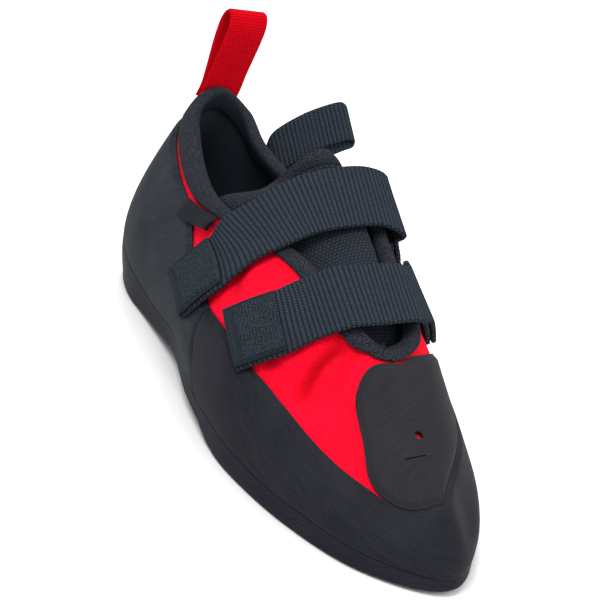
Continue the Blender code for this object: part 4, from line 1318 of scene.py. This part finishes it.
# %% Pull loops
LOOP_WIDTH = 0.0170
HEEL_LOOP_HEIGHT = 0.0335
LOOP_TAPE = 0.0015
TAPE_ROUND = (0.3, 0.05)
TAPE_STEPS = 30
HEEL_TAPE_RIBS = (0.0011, 0.00008)
SIDE_TAPE_RIBS = (0.0021, 0.00022)
HEEL_LOOP_PATH = (
    (-.085, -.17), (-.045, .0), (-.02, .25), (.04, .60), (.06, .85), (.0, .985), (-.10, 1.0),
    (-.19, .87), (-.20, .60), (-.155, .25), (-.135, .0), (-.175, -.17))
SIDE_LOOP_PATH = (
    (0, .054, -.045), (0, .018, .0), (0, .042, .07), (0, .163, .163), (0, .299, .227), (0, .352, .232),
    (0, .362, .202), (0, .305, .173), (0, .178, .104), (0, .079, .025), (0, .061, -.02), (0, .082, -.045))
SIDE_LOOP_SPOT = (18.2, .82)
SIDE_LOOP_ACROSS = (.654, .141, -.705)


def tape_loop(node, path, across, finish, ribs):
    """Band of tape along a path, ribbed on both sides; across is the direction of its width."""
    width = unit(np.asarray(across, float)) * LOOP_WIDTH
    rows = smooth_rows(path, TAPE_STEPS)[:, None] + (ACROSS[None, :, None] - 0.5) * width
    rows, run = even_rows(rows, ribs[0] / 8)
    normal = sheet_normals(rows, (1, 0, 0))
    border = to_border(ACROSS)
    drop = ribs[1] + rounded_off(border, LOOP_TAPE, TAPE_ROUND)
    half = (LOOP_TAPE / 2 - drop + rib_relief(run, border, ribs))[..., None]
    layer(node + "_tape", rows + normal * half, rows - normal * half, sheet_uv(rows), (finish,),
          (node,))


def make_loops():
    collar = at(0.0, 1.0, FIT + BINDING + FIT + LOOP_TAPE / 2)
    path = [collar + np.array((a + .035, .06 + .08 * b, b)) * HEEL_LOOP_HEIGHT for a, b in HEEL_LOOP_PATH]
    tape_loop("heel_pull_loop", path, (0, 1, 0), RED_TAPE, HEEL_TAPE_RIBS)
    wall = at(*SIDE_LOOP_SPOT, FIT + BINDING + 2 * FIT + LOOP_TAPE)
    path = [wall + np.array(spot) * BALL_WIDTH for spot in SIDE_LOOP_PATH]
    tape_loop("side_pull_loop", path, SIDE_LOOP_ACROSS, WEBBING_CLOTH, SIDE_TAPE_RIBS)


make_loops()

# %% [markdown]
# A small folded label sticks out from under the binding on the outer side. It is plain satin, with a fold
# along its lower edge and a slight curl.

# %% Side label
LABEL = 0.0009
LABEL_OPEN = 0.0012
LABEL_CORNERS = ((3.00, .785), (3.80, .825))
LABEL_TOP = (.918, .953)


def make_label():
    along, up = np.meshgrid(np.linspace(0, 1, 49), np.linspace(0, 1, 19), indexing="ij")
    turn, low = (between(*ends, along) for ends in zip(*LABEL_CORNERS))
    share = between(low, between(*LABEL_TOP, along), up)
    base = FIT + RUBBER + FIT
    puff = LABEL * (0.55 + 0.45 * ease((1 - up) / 0.5))
    puff *= 0.7 + 0.3 * ease(np.minimum(along, 1 - along) / 0.08)
    puff += LABEL_OPEN * ease((along - 0.55) / 0.45) * ease((1 - up) / 0.6)
    front = at(turn, share, base + puff)
    satin = layer("side_label_satin", front, at(turn, share, base), sheet_uv(front), (SATIN,),
                  ("side_label",))
    satin.data.materials.append(FOLD_CLOTH)
    end = Vector(front[-1].mean(axis=0) - front[-4].mean(axis=0)).normalized()
    for face in satin.data.polygons:
        face.material_index = 1 if face.normal.dot(end) > 0.75 else 0


make_label()

# %% [markdown]
# Stitches hold the binding and the tongue's edging. They are tiny, but a shoe without them looks
# moulded, so each row is laid as joined beads of thread.

# %% Stitches
BINDING_STITCH_ROWS = ((0.82, 0.0, 0.00026), (0.38, 3.0, 0.000104))     # down, start turn and height
TONGUE_STITCH_ROW = 11


def binding_stitches():
    for side_name, start, end in (("outer", 0.25, 6.9), ("inner", -6.9, -0.25)):
        for number, (down, first, over) in enumerate(BINDING_STITCH_ROWS):
            turn = np.linspace(start, end, 400)
            turn = turn[np.abs(turn) > first]
            path = on_binding(turn, down, binding_outside(turn) + BINDING + over)
            normal = on_binding(turn, down, 1.0) - on_binding(turn, down, 0.0)
            stitch_row("binding_stitches_" + side_name + "_" + str(number), path, normal, "binding")


binding_stitches()
stitch_row("tongue_stitches", tongue_rows[TONGUE_STITCH_ROW] + tongue_normals[TONGUE_STITCH_ROW] * 0.0001,
           tongue_normals[TONGUE_STITCH_ROW], "tongue")

# %% [markdown]
# The insole keeps the model's own solid, because only a little of it can be seen deep inside. It gets the
# dark board cloth of the lining.

# %% Insole
BOARD_GRAIN = 900.0


def board():
    made, tree, shader = new_material("insole board")
    grain = grain_of(tree, BOARD_GRAIN)["Height"]
    colour = colour_between(tree, (0.010, 0.012, 0.017), (0.022, 0.025, 0.033), grain, 0.3, 0.7)
    fill(tree, shader, {"Base Color": colour, "Normal": bump(tree, grain, 0.00015), "Roughness": 0.9})
    return made


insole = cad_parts["insole"]
insole.data.materials.clear()
insole.data.materials.append(board())
print("insole faces:", len(insole.data.polygons))
